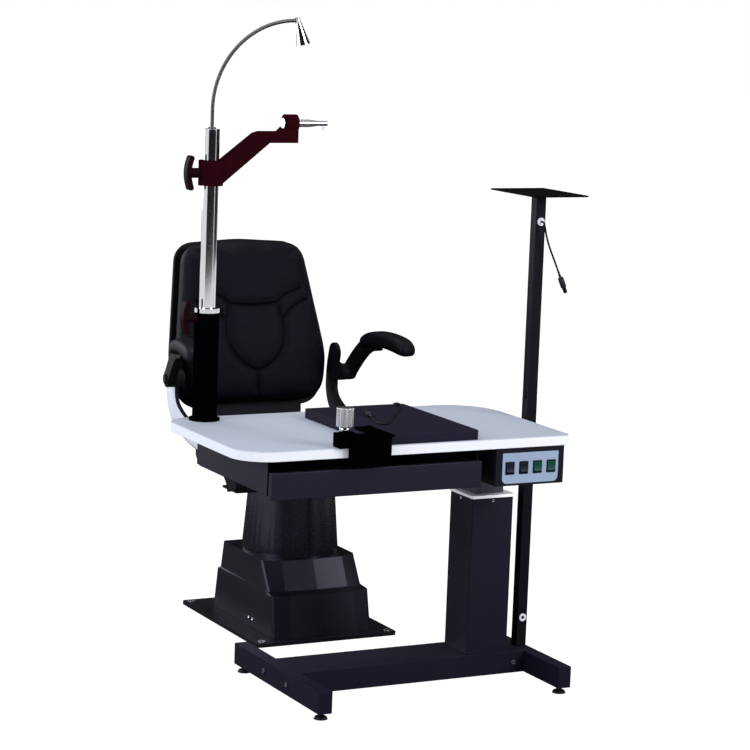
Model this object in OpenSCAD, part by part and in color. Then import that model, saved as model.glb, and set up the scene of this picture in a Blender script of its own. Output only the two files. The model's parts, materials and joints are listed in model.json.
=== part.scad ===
// Ophthalmic examination unit: a lifting, swivelling patient chair behind a lifting instrument
// table that carries a mast with a lamp and an instrument arm, and a post with a projector tray.
// The origin is on the floor under the chair's swivel axis. The patient faces -Y, +X is the
// patient's left, and +Z is up. All lengths are millimetres.

/* [Table top] */
// Width of the table top from left to right
top_w = 900; // [840:10:1000]
// Depth of the table top from front to rear
top_d = 490; // [470:10:560]
// Thickness of the table top
top_t = 25; // [18:1:32]
// Height of the table top's upper face with the column lowered
top_z = 680; // [670:10:760]
// Distance from the chair's axis to the table's left end
table_left = 590; // [560:10:640]
// Distance from the chair's axis to the table's rear edge
table_gap = 470; // [460:10:560]
// Corner radius at the front left
corner_front_left = 90; // [40:5:110]
// Corner radius at the front right
corner_front_right = 25; // [10:5:35]
// Corner radius at the rear right
corner_rear_right = 130; // [60:5:150]
// Corner radius at the rear left
corner_rear_left = 60; // [30:5:80]

/* [Table base] */
// Length of each floor rail
rail_len = 500; // [440:10:560]
// Width of each floor rail
rail_w = 36; // [32:1:50]
// Height of each floor rail and of the cross beam
rail_h = 55; // [45:1:70]
// Width of the cross beam from front to rear
beam_d = 150; // [140:5:180]
// Height of the levelling feet under the rails
foot_h = 18; // [14:1:30]
// Distance from the top's left end to the left rail
rail_left_inset = 230; // [180:10:260]
// Distance that the right rail stands out past the top's right end
rail_right_reach = 45; // [42:1:60]
// Wall of the rails and the beam
rail_wall = 3; // [2:0.5:4]

/* [Lifting column] */
// Width of the column's casing from left to right
column_w = 120; // [110:2:130]
// Depth of the column's casing
column_d = 118; // [110:2:130]
// Height of the column's casing above the beam
column_h = 410; // [400:5:430]
// Distance from the right rail's outer face to the column's axis
column_inset = 140; // [130:5:160]
// Wall of the casing
column_wall = 3; // [2:0.5:5]
// Thickness of the white cap on the casing
column_cap_t = 8; // [5:1:12]
// Width of the square inner column
inner_w = 80; // [70:2:90]

/* [Drawer] */
// Width of the drawer's front
drawer_w = 570; // [500:10:600]
// Height of the drawer's front
drawer_front_h = 65; // [55:1:70]
// Thickness of the drawer's front
drawer_front_t = 18; // [12:1:22]
// Depth of the drawer's housing
housing_d = 416; // [380:5:430]
// Height of the drawer's housing under the top
housing_h = 87; // [80:1:95]
// Sheet thickness of the housing and the drawer
sheet_t = 2; // [1.5:0.5:3]

/* [Control box] */
// Width of the control box
box_w = 195; // [190:5:210]
// Height of the control box
box_h = 96; // [90:1:110]
// Depth of the control box
box_d = 180; // [150:5:190]
// Width of the switch panel
panel_w = 160; // [155:1:180]
// Height of the switch panel
panel_h = 77; // [60:1:85]
// Width of each rocker switch's frame
rocker_w = 25.5; // [22:0.5:30]
// Height of each rocker switch's frame
rocker_h = 32; // [28:0.5:36]

/* [Mast] */
// Radius of the black lower post
post_r = 31; // [28:1:36]
// Height of the black lower post
post_h = 272; // [250:2:320]
// Radius of the post's foot flange
flange_r = 39; // [38:1:45]
// Radius of the chrome mast tube
mast_r = 20; // [16:1:22]
// Height of the mast tube's end above the post
mast_rise = 455; // [420:5:520]
// Radius of the lamp's flexible neck
neck_r = 5; // [4:0.5:6]
// Radius of the neck's bend
neck_bend_r = 222; // [180:2:240]
// Length of the lamp's head
lamp_len = 60; // [50:1:70]
// Radius of the lamp head's open end
lamp_r = 20.5; // [18:0.5:26]

/* [Instrument arm] */
// Height of the arm's clamp
clamp_h = 62; // [56:1:70]
// Radius of the arm's clamp
clamp_r = 31; // [28:1:36]
// Height of the clamp's centre above the post
clamp_rise = 347; // [320:1:380]
// Reach of the arm from the mast to its end face
arm_reach = 229; // [200:1:300]
// Thickness of the arm from front to rear
arm_t = 34; // [28:1:40]
// Radius of the instrument pin's shank
pin_r = 9.5; // [8:0.5:11]
// Length of the instrument pin outside the arm
pin_len = 86; // [80:1:110]

/* [Slide board] */
// Width of the board
board_w = 283; // [260:1:300]
// Depth of the board
board_d = 400; // [380:5:420]
// Thickness of the board
board_t = 24; // [18:1:30]
// Distance from the top's left end to the board
board_inset = 351; // [330:1:370]
// Width of the edge clamp
edge_clamp_w = 104; // [95:1:115]
// Radius of the clamp knob's head
knob_r = 21; // [17:1:24]

/* [Projector post] */
// Side of the square post
pole_w = 28; // [20:1:32]
// Height of the tray above the floor
tray_z = 1264; // [1150:10:1400]
// Height of the post's splice above the floor
splice_z = 735; // [700:5:800]
// Width of the tray from left to right
tray_w = 160; // [120:5:200]
// Depth of the tray
tray_d = 225; // [180:5:260]
// Thickness of the tray
tray_t = 4; // [3:0.5:6]

/* [Chair base] */
// Width of the floor plate from left to right
plate_w = 422; // [400:2:450]
// Length of the floor plate from front to rear
plate_l = 520; // [500:5:560]
// Thickness of the floor plate
plate_t = 10; // [8:1:14]
// Width of the base cover
cover_w = 300; // [292:2:330]
// Height of the base cover's lower tier
cover_low_h = 113; // [100:1:125]
// Height of the base cover's upper tier
cover_high_h = 82; // [70:1:95]
// Wall of the base cover
cover_wall = 3; // [2:0.5:4]
// Radius of the cone's straight skirt
cone_r = 134; // [126:1:136]
// Radius of the cone's upper end
cone_top_r = 120; // [110:1:126]
// Radius of the lift's outer tube
lift_r = 55; // [50:1:62]

/* [Seat] */
// Height of the seat pan's underside with the chair lowered
seat_z = 418; // [410:2:440]
// Width of the seat cushion
seat_w = 470; // [440:5:476]
// Length of the seat cushion
seat_l = 460; // [430:5:480]
// Thickness of the seat cushion at its crown
seat_t = 98; // [80:1:110]
// Thickness of the seat pan
pan_t = 12; // [8:1:16]

/* [Backrest] */
// Distance that the backrest's lower end stands in from each side of the seat
back_inset = 23; // [10:1:30]
// Width of the backrest at its upper end
back_high_w = 378; // [330:2:400]
// Length of the backrest along its slope
back_l = 470; // [440:5:500]
// Thickness of the back cushion at its crown
back_t = 88; // [70:1:95]
// Angle of the backrest behind the vertical
recline = 16; // [12:1:18]
// Thickness of the back shell
shell_t = 14; // [10:1:18]

/* [Armrests] */
// Gap between the seat cushion and each armrest's bracket
arm_gap = 10; // [2:1:15]
// Distance of the armrest pivots behind the swivel axis
hub_y = 219; // [210:1:235]
// Height of the armrest pivots
hub_z = 660; // [640:2:680]
// Angle at which the armrests spread outwards
splay = 8; // [4:1:10]
// Width of each arm pad
pad_w = 60; // [50:1:64]
// Thickness of each arm pad
pad_t = 46; // [38:1:50]
// Reach of the arm pads ahead of their pivots
pad_reach = 290; // [270:5:330]

/* [Hidden] */
$fn = 64;

// Clearances and shared small sizes
overrun = 1;
slip = 0.3;
run_fit = 0.05;
corner_steps = 8;
screw_r = 4;
screw_head_r = 6.5;
screw_head_t = 3.5;

// Places worked out for the table
top_x0 = -table_left;
top_x1 = top_x0 + top_w;
top_y1 = -table_gap;
top_y0 = top_y1 - top_d;
top_under = top_z - top_t;
rail_x0 = top_x0 + rail_left_inset;
rail_x1 = top_x1 + rail_right_reach;
rail_front_inset = 24;
rail_y0 = top_y0 + rail_front_inset;
rail_y1 = rail_y0 + rail_len;
rail_top = foot_h + rail_h;
beam_y = (rail_y0 + rail_y1) / 2;
column_x = rail_x1 - column_inset;
column_top = rail_top + column_h;
inner_wall = 5;
inner_foot_rise = 45;
column_flange = 170;
column_flange_t = 6;

// Places worked out for the drawer and the control box
front_reach = 5.5;
front_y = top_y0 + front_reach;
housing_left_inset = 76;
housing_x0 = top_x0 + housing_left_inset;
housing_x1 = housing_x0 + drawer_w + sheet_t;
housing_y0 = front_y + drawer_front_t + 4 * sheet_t;
housing_z0 = top_under - housing_h;
runner_w = 12;
runner_h = 5;
drawer_gap = 12;
drawer_box_h = 46;
drawer_box_back = 24;
drawer_drop = 6;
finger_gap = 29;
box_right_inset = 19;
box_x1 = top_x1 - box_right_inset;
box_x0 = box_x1 - box_w;
panel_t = 1.5;
panel_left_inset = 18;
panel_top_inset = 13;
panel_r = 14;
frame_t = 3;
frame_stand = 2;
rocker_gap = 0.25;
rocker_tilt = 8;
rocker_pitch = 39.4;
rocker_count = 4;
rocker_drop = 51;
rocker_depth = 12;
rocker_pivot = 7;
panel_x0 = box_x0 + panel_left_inset;
panel_z1 = top_under - panel_top_inset;
rocker_x0 = panel_x0 + (panel_w - rocker_pitch * (rocker_count - 1)) / 2;
rocker_z = top_under - rocker_drop;

// Places worked out for the mast
post_x = top_x0 + 3 * post_r;
post_rear_gap = 3;
post_y = top_y1 - flange_r - post_rear_gap;
post_wall = 4;
flange_t = 6;
post_top = top_z + post_h;
collar_t = 11;
collar_depth = 60;
mast_base_rise = 20;
mast_base = top_z + mast_base_rise;
mast_top = post_top + mast_rise;
mast_wall = 2;
mast_cap_t = 8;
neck_straight = 48;
neck_plug = 20;
clamp_z = post_top + clamp_rise;
knob_stub_r = 12.5;
knob_screw_r = 5;
knob_stub_len = 22;
wing_h = 86;
wing_w = 22;
wing_t = 13;
wing_bow = 9;
mast_knob_drop = 13;
lamp_tilt = 14;
lamp_top_r = 7;
lamp_wall = 1.5;
lens_t = 2;
lens_inset = 4;
knuckle_r = 7;

// Places worked out for the slide board
board_front_inset = 6;
board_x0 = top_x0 + board_inset;
board_y0 = top_y0 + board_front_inset;
board_z0 = top_z + slip;
board_top = board_z0 + board_t;
edge_gap = 1;
clamp_over = 78;
edge_x0 = board_x0 - clamp_over;
edge_t = 24;
edge_top_t = 6;
edge_rise = 9;
edge_hook_h = 14;
edge_hook_reach = 24;
edge_over = 33;
edge_back = 98;
edge_screw_pitch = 49;
knob_boss_w = 40;
knob_boss_t = 34;
clamp_screw_r = 6;
knob_neck_r = 13;
knob_neck_h = 16;
knob_head_h = 46;
knob_offset = 8;
knob_boss_drop = 18;
knob_x = edge_x0 - knob_offset;
knob_y = top_y0 + knob_offset;
knob_boss_z = board_top - knob_boss_drop;

// Places worked out for the projector post
pole_x = rail_x1 - rail_w / 2;
pole_offset = 14;
pole_y = beam_y - pole_offset;
pole_wall = 2;
splice_len = 120;
grommet_r = 10.5;
grommet_t = 3;
grommet_bore_r = 4.5;
grommet_drop = 71;
grommet_low_rise = 77;
pole_top = tray_z - tray_t;

// Places worked out for the chair
lift_wall = 5;
lift_inner_r = lift_r - lift_wall - run_fit;
lift_outer_h = 340;
lift_outer_top = plate_t + lift_outer_h;
lift_flange_r = 90;
lift_flange_t = 10;
swivel_pin_r = 22;
swivel_pin_h = 18;
hub_drop = 20;
lift_top = seat_z - hub_drop;
cover_z0 = plate_t;
cover_step_z = cover_z0 + cover_low_h;
cover_top = cover_step_z + cover_high_h;
cone_fit = 1;
cone_skirt_rise = 10;
cone_foot_rise = 12;
cone_break_z = cover_top + cone_skirt_rise;
cone_base_z = plate_t + cone_foot_rise;
cone_wall = 3;
actuator_r = 30;
actuator_gap = 10;
actuator_x = lift_r + actuator_r + actuator_gap;
actuator_h = 170;
anchor_r = 5.5;
anchor_inset = 22;
washer_r = 11;
washer_t = 2.5;
cushion_z = seat_z + pan_t;
seat_front = -250;
back_y = 286;
back_z = 563;
back_low_w = seat_w - 2 * back_inset;
lumbar_w = 320;
lumbar_drop = 50;
bracket_w = 120;
bracket_t = 8;
hub_r = 24;
link_t = 24;
band_t = 10;
hub_x = seat_w / 2 + arm_gap + link_t / 2;
pivot_r = 9;
cap_r = 14;
cap_t = 4;

// General helpers
function unit(v) = v / norm(v);
function wrap(a) = a > 180 ? a - 360 : a < -180 ? a + 360 : a;
function mean(points) = [for (k = [0:len(points[0]) - 1])
    let (column = [for (p = points) p[k]], ones = [for (p = points) 1]) column * ones / len(points)];

// One rounded corner of an outline as points on an arc
function round_corner(a, p, b, r) = let (
    u = unit(a - p),
    v = unit(b - p),
    half = acos(u * v) / 2,
    c = p + unit(u + v) * r / sin(half),
    from = p + u * r / tan(half) - c,
    to = p + v * r / tan(half) - c,
    start = atan2(from.y, from.x),
    turn = wrap(atan2(to.y, to.x) - start)
) [for (i = [0:corner_steps]) let (angle = start + turn * i / corner_steps) c + r * [cos(angle), sin(angle)]];

// An outline whose corners are rounded, each by its own radius
function rounded(points, radii) = let (n = len(points))
    [for (i = [0:n - 1]) each round_corner(points[(i + n - 1) % n], points[i], points[(i + 1) % n], radii[i])];

function rect(x0, y0, x1, y1) = [[x0, y0], [x1, y0], [x1, y1], [x0, y1]];
function rounded_rect(x0, y0, x1, y1, r) = rounded(rect(x0, y0, x1, y1), [r, r, r, r]);

// A smooth curve through the given points, with count steps in each span
function spline(points, count) = let (n = len(points))
    [for (i = [0:n - 2], k = [0:count - 1]) spline_point(points, i, k / count), points[n - 1]];
function spline_point(p, i, t) = let (
    a = p[max(i - 1, 0)], b = p[i], c = p[i + 1], d = p[min(i + 2, len(p) - 1)]
) ((2 * b) + (c - a) * t + (2 * a - 5 * b + 4 * c - d) * t * t + (3 * b - a - 3 * c + d) * t * t * t) / 2;

function tangent(path, i) = unit(path[min(i + 1, len(path) - 1)] - path[max(i - 1, 0)]);

// A flat strip that follows a path, as one outline
function strip(path, half) = concat(
    [for (i = [0:len(path) - 1]) let (t = tangent(path, i)) path[i] + half * [t.y, -t.x]],
    [for (i = [len(path) - 1:-1:0]) let (t = tangent(path, i)) path[i] - half * [t.y, -t.x]]);

// A closed skin over rings of equal count, from the first ring to the last
module skin(rings) {
    n = len(rings[0]);
    m = len(rings);
    polyhedron(
        points = [for (r = rings) each r, mean(rings[0]), mean(rings[m - 1])],
        faces = [
            for (j = [0:m - 2], i = [0:n - 1]) each [
                [j * n + i, (j + 1) * n + i, j * n + (i + 1) % n],
                [j * n + (i + 1) % n, (j + 1) * n + i, (j + 1) * n + (i + 1) % n]],
            for (i = [0:n - 1]) [m * n, i, (i + 1) % n],
            for (i = [0:n - 1]) [m * n + 1, (m - 1) * n + (i + 1) % n, (m - 1) * n + i]],
        convexity = 6);
}

// A round tube swept along a route of points, whose rings never twist about +X
module swept(route, r, sides) {
    skin([for (i = [0:len(route) - 1]) let (
        t = tangent(route, i),
        u = unit(cross(t, abs(t.x) < 0.9 ? [1, 0, 0] : [0, 0, 1])),
        v = cross(t, u)
    ) [for (k = [0:sides - 1]) route[i] + r * (u * cos(360 * k / sides) + v * sin(360 * k / sides))]]);
}

module block(lo, hi) translate(lo) cube(hi - lo);

module rod(x, y, z0, z1, r) translate([x, y, z0]) cylinder(h = z1 - z0, r = r);

module rod_x(x0, x1, y, z, r) translate([x0, y, z]) rotate([0, 90, 0]) cylinder(h = x1 - x0, r = r);

module rod_y(x, y0, y1, z, r) translate([x, y1, z]) rotate([90, 0, 0]) cylinder(h = y1 - y0, r = r);

// Outlines in Y and Z carried along X, and outlines in X and Z carried along Y
module along_x(x0, x1) translate([x0, 0, 0]) rotate([90, 0, 90]) linear_extrude(x1 - x0) children();

module along_y(y0, y1) translate([0, y1, 0]) rotate([90, 0, 0]) linear_extrude(y1 - y0) children();

// Chair base

module at_anchors() {
    for (sx = [-1, 1], sy = [-1, 1])
        translate([sx * (plate_w / 2 - anchor_inset), sy * (plate_l / 2 - anchor_inset), 0]) children();
}

module base_plate() color([0.12, 0.12, 0.13]) difference() {
    linear_extrude(plate_t)
        polygon(rounded_rect(-plate_w / 2, -plate_l / 2, plate_w / 2, plate_l / 2, anchor_inset / 2));
    at_anchors() translate([0, 0, -overrun]) cylinder(h = plate_t + 2 * overrun, r = anchor_r);
}

module base_washers() color("silver") at_anchors() translate([0, 0, plate_t]) difference() {
    cylinder(h = washer_t, r = washer_r);
    translate([0, 0, -overrun]) cylinder(h = washer_t + 2 * overrun, r = anchor_r);
}

// Plan of the cover at one level, flat at the rear and the sides and bowed at the front. Its shares
// are of the half width and of the cover's reach at the front corners, the bow and the rear
cover_rear_inset = 78;
cover_rear_y = plate_l / 2 - cover_rear_inset;
cover_front_y = plate_l / 2 - anchor_inset;
cover_bend_r = 12;
bow_shares = [0.66, 0.72];
tier_lip = 5;
tier_shares = [[1, 0.94, 1, 1], [0.973, 0.86, 0.92, 0.93], [0.953, 0.7, 0.77, 0.86],
    [0.947, 0.49, 0.63, 0.775]];
function cover_plan(tier, shrink) = let (
    x = tier[0] * cover_w / 2 - shrink,
    corner = shrink - tier[1] * cover_front_y,
    bow = shrink - tier[2] * cover_front_y,
    side = corner + (bow - corner) * bow_shares[1],
    rear = tier[3] * cover_rear_y - shrink
) rounded(
    [[x, corner], [x, rear], [-x, rear], [-x, corner], [-x * bow_shares[0], side], [0, bow],
        [x * bow_shares[0], side]],
    [for (k = [0:6]) cover_bend_r]);

function ring_at(outline, z) = [for (p = outline) [p.x, p.y, z]];

module cover_solid(shrink) {
    zs = [cover_z0, cover_step_z - shrink, cover_step_z + tier_lip - shrink, cover_top - shrink];
    skin([for (k = [0:3]) ring_at(cover_plan(tier_shares[k], shrink), zs[k])]);
}

module cover_shell() difference() {
    cover_solid(0);
    difference() {
        cover_solid(cover_wall);
        translate([0, 0, cover_top - cover_wall]) cube([plate_w, plate_l, 2 * cover_wall], center = true);
    }
    block([-plate_w, -plate_l, cover_z0 - overrun], [plate_w, plate_l, cover_z0 + overrun / 2]);
    rod(0, 0, cover_step_z, cover_top + overrun, cone_r + cone_fit);
}

// The joint between the two covers steps forwards below the tiers' step
split_shares = [0.42, 0.56, 0.78, 0.9];
module cover_rear_zone() along_x(-cover_w, cover_w) polygon([
    [-split_shares[3] * cover_front_y, 0], [cover_w, 0], [cover_w, 2 * cover_top],
    [-split_shares[0] * cover_front_y, 2 * cover_top], [-split_shares[0] * cover_front_y, cover_top],
    [-split_shares[1] * cover_front_y, cover_step_z + tier_lip],
    [-split_shares[2] * cover_front_y, cover_step_z - tier_lip], [-split_shares[3] * cover_front_y, cover_z0]]);

module base_cover_rear() color([0.16, 0.17, 0.2]) intersection() {
    cover_shell();
    cover_rear_zone();
}

module base_cover_front() color([0.12, 0.12, 0.14]) difference() {
    cover_shell();
    cover_rear_zone();
}

cover_screw_y = -90;
cover_screw_z = 34;
cover_screw_pitch = 24;
cover_lean = (1 - tier_shares[1][0]) * cover_w / 2 / cover_low_h;
column_screw_z = column_top - screw_r * 2;
cover_screw_x = cover_w / 2 - cover_lean * (cover_screw_z - screw_r - cover_z0);
module cover_screws() color("silver") {
    for (side = [-1, 1], k = [0, 1])
        arm_side(side) rod_x(cover_screw_x, cover_screw_x + screw_head_t / 2,
            cover_screw_y + k * cover_screw_pitch, cover_screw_z, screw_r);
    rod_y(column_x, column_front - screw_head_t, column_front, column_screw_z, screw_r);
    rod_x(column_x - column_w / 2 - screw_head_t, column_x - column_w / 2, beam_y,
        column_screw_z, screw_r);
}
column_front = beam_y - column_d / 2;

module chair_lift_outer() color([0.3, 0.3, 0.32]) difference() {
    union() {
        rod(0, 0, plate_t, lift_outer_top, lift_r);
        rod(0, 0, plate_t, plate_t + lift_flange_t, lift_flange_r);
    }
    rod(0, 0, plate_t - overrun, lift_outer_top + overrun, lift_r - lift_wall);
    rod(actuator_x, 0, plate_t - overrun, plate_t + lift_flange_t + overrun, actuator_r + slip);
}

module chair_actuator() color([0.25, 0.25, 0.27]) {
    rod(actuator_x, 0, plate_t, plate_t + actuator_h, actuator_r);
    rod(actuator_x, 0, plate_t + actuator_h, plate_t + actuator_h + actuator_r / 2, actuator_r * 0.7);
    difference() {
        block([0, -actuator_r / 2, plate_t + actuator_h],
            [actuator_x, actuator_r / 2, plate_t + actuator_h + actuator_r / 3]);
        rod(0, 0, plate_t, lift_outer_top, lift_r);
    }
}

module chair_lift_inner() color("silver") {
    rod(0, 0, plate_t + 2 * overrun, lift_top, lift_inner_r);
    rod(0, 0, lift_top - lift_flange_t, lift_top, lift_flange_r);
    rod(0, 0, lift_top, lift_top + swivel_pin_h, swivel_pin_r);
}

cone_flange_z = lift_top - lift_flange_t;
module chair_cone() color([0.14, 0.14, 0.16]) rotate_extrude() polygon([
    [cone_r - cone_wall, cone_base_z], [cone_r, cone_base_z], [cone_r, cone_break_z],
    [cone_top_r, cone_flange_z], [lift_inner_r, cone_flange_z], [lift_inner_r, cone_flange_z - cone_wall],
    [cone_top_r - cone_wall, cone_flange_z - cone_wall], [cone_r - cone_wall, cone_break_z]]);

// Seat

pan_side_share = 0.44;
pan_front_inset = 30;
pan_rear_inset = 20;
module seat_pan() color([0.15, 0.15, 0.16]) difference() {
    union() {
        linear_extrude_at(seat_z, pan_t) polygon(rounded_rect(
            -seat_w * pan_side_share, seat_front + pan_front_inset,
            seat_w * pan_side_share, seat_front + seat_l - pan_rear_inset, hub_r));
        rod(0, 0, lift_top + slip, seat_z, lift_flange_r);
    }
    rod(0, 0, lift_top - overrun, lift_top + swivel_pin_h + slip, swivel_pin_r + run_fit);
}

module linear_extrude_at(z, h) translate([0, 0, z]) linear_extrude(h) children();

// A padded form over an outline: rings run from the flat rear face out to the edge and over the crown
pad_rear_shares = [[0.3, 0], [0.93, 0]];
pad_side_shares = [[0.985, 0.1], [1, 0.28], [0.995, 0.5], [0.97, 0.66]];
pad_front_shares = [for (k = [0:13]) let (r = 0.94 - 0.07 * k) [max(r, 0.04), 1 - 0.27 * pow(r, 3)]];
pad_shares = concat(pad_rear_shares, pad_side_shares, pad_front_shares);

function gap_to(p, a, b) = let (d = b - a, t = min(1, max(0, (p - a) * d / (d * d)))) norm(p - a - d * t);
function groove(p, lines, half) = len(lines) == 0 ? 0 :
    max([for (l = lines) exp(-pow(gap_to(p, l[0], l[1]) / half, 2))]);

// A closed outline as count points at even steps
function run_to(path, i) = i == 0 ? 0 : run_to(path, i - 1) + norm(path[i % len(path)] - path[i - 1]);
function even_steps(path, count) = let (n = len(path), runs = [for (i = [0:n]) run_to(path, i)])
    [for (k = [0:count - 1]) let (
        run = runs[n] * k / count,
        i = max([for (j = [0:n - 1]) if (runs[j] <= run) j])
    ) path[i] + (path[(i + 1) % n] - path[i]) * (run - runs[i]) / (runs[i + 1] - runs[i])];

pad_steps = 62;
module padded(outline, thick, lines, depth, half) {
    edge = even_steps(outline, pad_steps);
    c = mean(edge);
    skin([for (s = pad_shares) [for (p = edge) let (q = c + (p - c) * s[0])
        [q.x, q.y, s[1] * thick - (s[1] > 0.6 ? depth * groove(q, lines, half) : 0)]]]);
}

seat_corner_r = 70;
seat_line_share = 0.27;
seat_groove_depth = 7;
groove_half = 11;
module seat_cushion() color([0.13, 0.13, 0.14]) translate([0, 0, cushion_z])
    padded(rounded_rect(-seat_w / 2, seat_front, seat_w / 2, seat_front + seat_l, seat_corner_r), seat_t,
        [for (sx = [-1, 1]) [[sx * seat_w * seat_line_share, seat_front + seat_corner_r],
            [sx * seat_w * seat_line_share, seat_front + seat_l - seat_corner_r]]],
        seat_groove_depth, groove_half);

// Backrest

module back_frame() translate([0, back_y, back_z]) rotate([90 - recline, 0, 0]) children();

back_top_r = 62;
back_low_r = 70;
back_arch = 12;
back_swell = 28;
back_swell_share = 0.27;
function back_outline(grow) = let (
    low = back_low_w / 2 + grow,
    wide = back_low_w / 2 + back_swell + grow,
    high = back_high_w / 2 + grow,
    top = back_l + grow
) rounded(
    [[low, -grow], [wide, back_l * back_swell_share], [high, top], [0, top + back_arch], [-high, top],
        [-wide, back_l * back_swell_share], [-low, -grow]],
    [back_low_r, back_l / 2, back_top_r, back_l, back_top_r, back_l / 2, back_low_r]);

// Sewn lines of the back as shares of its half width and of its length
panel_corner_shares = [[0.36, 0.6], [0.4, 0.35], [0, 0.195]];
panel_flare_shares = [[0.7, 0.69], [0.38, 0.49], [0.8, 0.62], [0, 0.05]];
function back_at(s, side) = [side * s[0] * back_low_w / 2, s[1] * back_l];
function back_lines() = [for (side = [-1, 1]) each [
    [back_at(panel_corner_shares[0], side), back_at(panel_corner_shares[0], 0)],
    [back_at(panel_corner_shares[0], side), back_at(panel_corner_shares[1], side)],
    [back_at(panel_corner_shares[1], side), back_at(panel_corner_shares[2], side)],
    [back_at(panel_corner_shares[0], side), back_at(panel_flare_shares[0], side)],
    [back_at(panel_flare_shares[1], side), back_at(panel_flare_shares[2], side)],
    [back_at(panel_corner_shares[2], side), back_at(panel_flare_shares[3], side)]]];

back_groove_depth = 8;
module back_cushion() color([0.13, 0.13, 0.14]) back_frame()
    padded(back_outline(0), back_t, back_lines(), back_groove_depth, groove_half);

shell_over = 3;
module back_shell() color([0.1, 0.1, 0.11]) back_frame() translate([0, 0, -shell_t]) {
    linear_extrude(shell_t) polygon(back_outline(shell_over));
    linear_extrude(shell_t)
        polygon(rounded_rect(-lumbar_w / 2, -lumbar_drop, lumbar_w / 2, back_l / 4, back_low_r / 2));
}

// The steel bracket runs back under the seat pan and up behind the shell
module back_bracket() color([0.2, 0.2, 0.21]) {
    knee_y = back_y - bracket_w / 4;
    foot_z = seat_z - bracket_t / 2;
    slope = [sin(recline), cos(recline)];
    start = [back_y, back_z] + (shell_t + bracket_t / 2) * [slope.y, -slope.x];
    bend = spline([[lift_flange_r + slip, foot_z], [lift_flange_r + bracket_w / 2, foot_z], [knee_y, foot_z],
        [knee_y + bracket_w / 2, foot_z + bracket_w / 3], start - [0, lumbar_drop], start], 6);
    along_x(-bracket_w / 2, bracket_w / 2)
        polygon(strip(concat(bend, [start + bracket_t * slope, start + back_l / 3 * slope]), bracket_t / 2));
}

// Armrests, drawn for the patient's left at +X and mirrored for the other side

module arm_side(side) mirror([side > 0 ? 0 : 1, 0, 0]) children();

module arm_frame() translate([hub_x, hub_y, hub_z]) rotate([0, 0, splay]) children();

// Route of the curved bracket, from its rounded end behind the pivot down and forward to the seat pan
bracket_route_shares = [[0.16, 0.205], [0.2, 0.04], [0.215, -0.125], [0.205, -0.25], [0.135, -0.375],
    [-0.01, -0.47], [-0.2, -0.54], [-0.45, -0.595], [-0.76, -0.635], [-1.1, -0.685], [-1.3, -0.745],
    [-1.43, -0.82], [-1.52, -0.915], [-1.56, -1.015]];
bracket_scale = hub_z - seat_z;
band_half = 30;
foot_side_share = 0.3;
foot_w = 120;
foot_t = 6;

module arm_bracket() {
    route = [for (s = bracket_route_shares) [hub_y, hub_z] + s * bracket_scale];
    foot_y = route[len(route) - 1].x;
    along_x(hub_x - link_t / 2, hub_x - link_t / 2 + band_t) {
        polygon(strip(spline(route, 5), band_half));
        translate(route[0]) circle(r = band_half);
        hull() for (p = [[hub_y, hub_z], route[1]]) translate(p) circle(r = hub_r);
    }
    block([seat_w * foot_side_share, foot_y - band_half, seat_z - foot_t],
        [hub_x - link_t / 2 + band_t, foot_y + foot_w / 2, seat_z]);
    arm_frame() {
        rod_x(-link_t / 2, link_t / 2, 0, 0, hub_r);
        rod_x(-link_t / 2 - cap_t, link_t / 2, 0, 0, cap_r);
        rod_x(link_t / 2 - overrun, 3 * link_t / 2 + 2 * slip, 0, 0, pivot_r);
        rod_x(3 * link_t / 2 + 2 * slip, 3 * link_t / 2 + 2 * slip + cap_t, 0, 0, cap_r);
    }
}

// The link rises from the pivot and turns forward under the pad, as shares of the pad's reach
link_route_shares = [[0, 0], [0.07, 0.085], [0.155, 0.18], [0.26, 0.275], [0.36, 0.325], [0.5, 0.35]];
link_half = 22;
link_pad_t = 8;
module arm_link() color([0.12, 0.12, 0.13]) arm_frame() difference() {
    union() {
        along_x(link_t / 2 + slip, 3 * link_t / 2 + slip) {
            circle(r = hub_r);
            polygon(strip(spline([for (s = link_route_shares) pad_reach * [-s[0], s[1]]], 6), link_half));
        }
    }
    rod_x(-link_t, 2 * link_t + cap_t, 0, 0, pivot_r + run_fit);
}

// Centre line and thickness of the pad, as shares of its reach and of its thickness
pad_route_shares = [[0.25, 0.33], [0.29, 0.345], [0.36, 0.365], [0.46, 0.385], [0.57, 0.395], [0.7, 0.393],
    [0.82, 0.38], [0.9, 0.365], [0.965, 0.345], [1, 0.33]];
pad_size_shares = [0.35, 0.72, 0.94, 1, 1, 1, 1, 0.97, 0.8, 0.35];
pad_sides = 20;
module arm_pad() color([0.12, 0.12, 0.13]) arm_frame() difference() {
    translate([link_t + slip, 0, 0]) skin([for (i = [0:len(pad_route_shares) - 1]) let (
        s = pad_route_shares[i], g = pad_size_shares[i], w = pow(g, 0.6) * pad_w / 2, t = g * pad_t / 2
    ) [for (k = [0:pad_sides - 1]) let (a = -360 * k / pad_sides, c = cos(a), q = sin(a))
        [w * sign(c) * pow(abs(c), 0.6), -s[0] * pad_reach,
            s[1] * pad_reach + t * sign(q) * pow(abs(q), 0.7)]]]);
    along_x(link_t / 2, 3 * link_t / 2 + 2 * slip)
        polygon(strip(spline([for (s = link_route_shares) pad_reach * [-s[0], s[1]]], 6), link_half));
}

module arm_bracket_right() color([0.14, 0.14, 0.15]) arm_side(-1) arm_bracket();
module arm_bracket_left() color([0.14, 0.14, 0.15]) arm_side(1) arm_bracket();
module arm_link_right() arm_side(-1) arm_link();
module arm_link_left() arm_side(1) arm_link();
module arm_pad_right() arm_side(-1) arm_pad();
module arm_pad_left() arm_side(1) arm_pad();

// Table base

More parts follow.
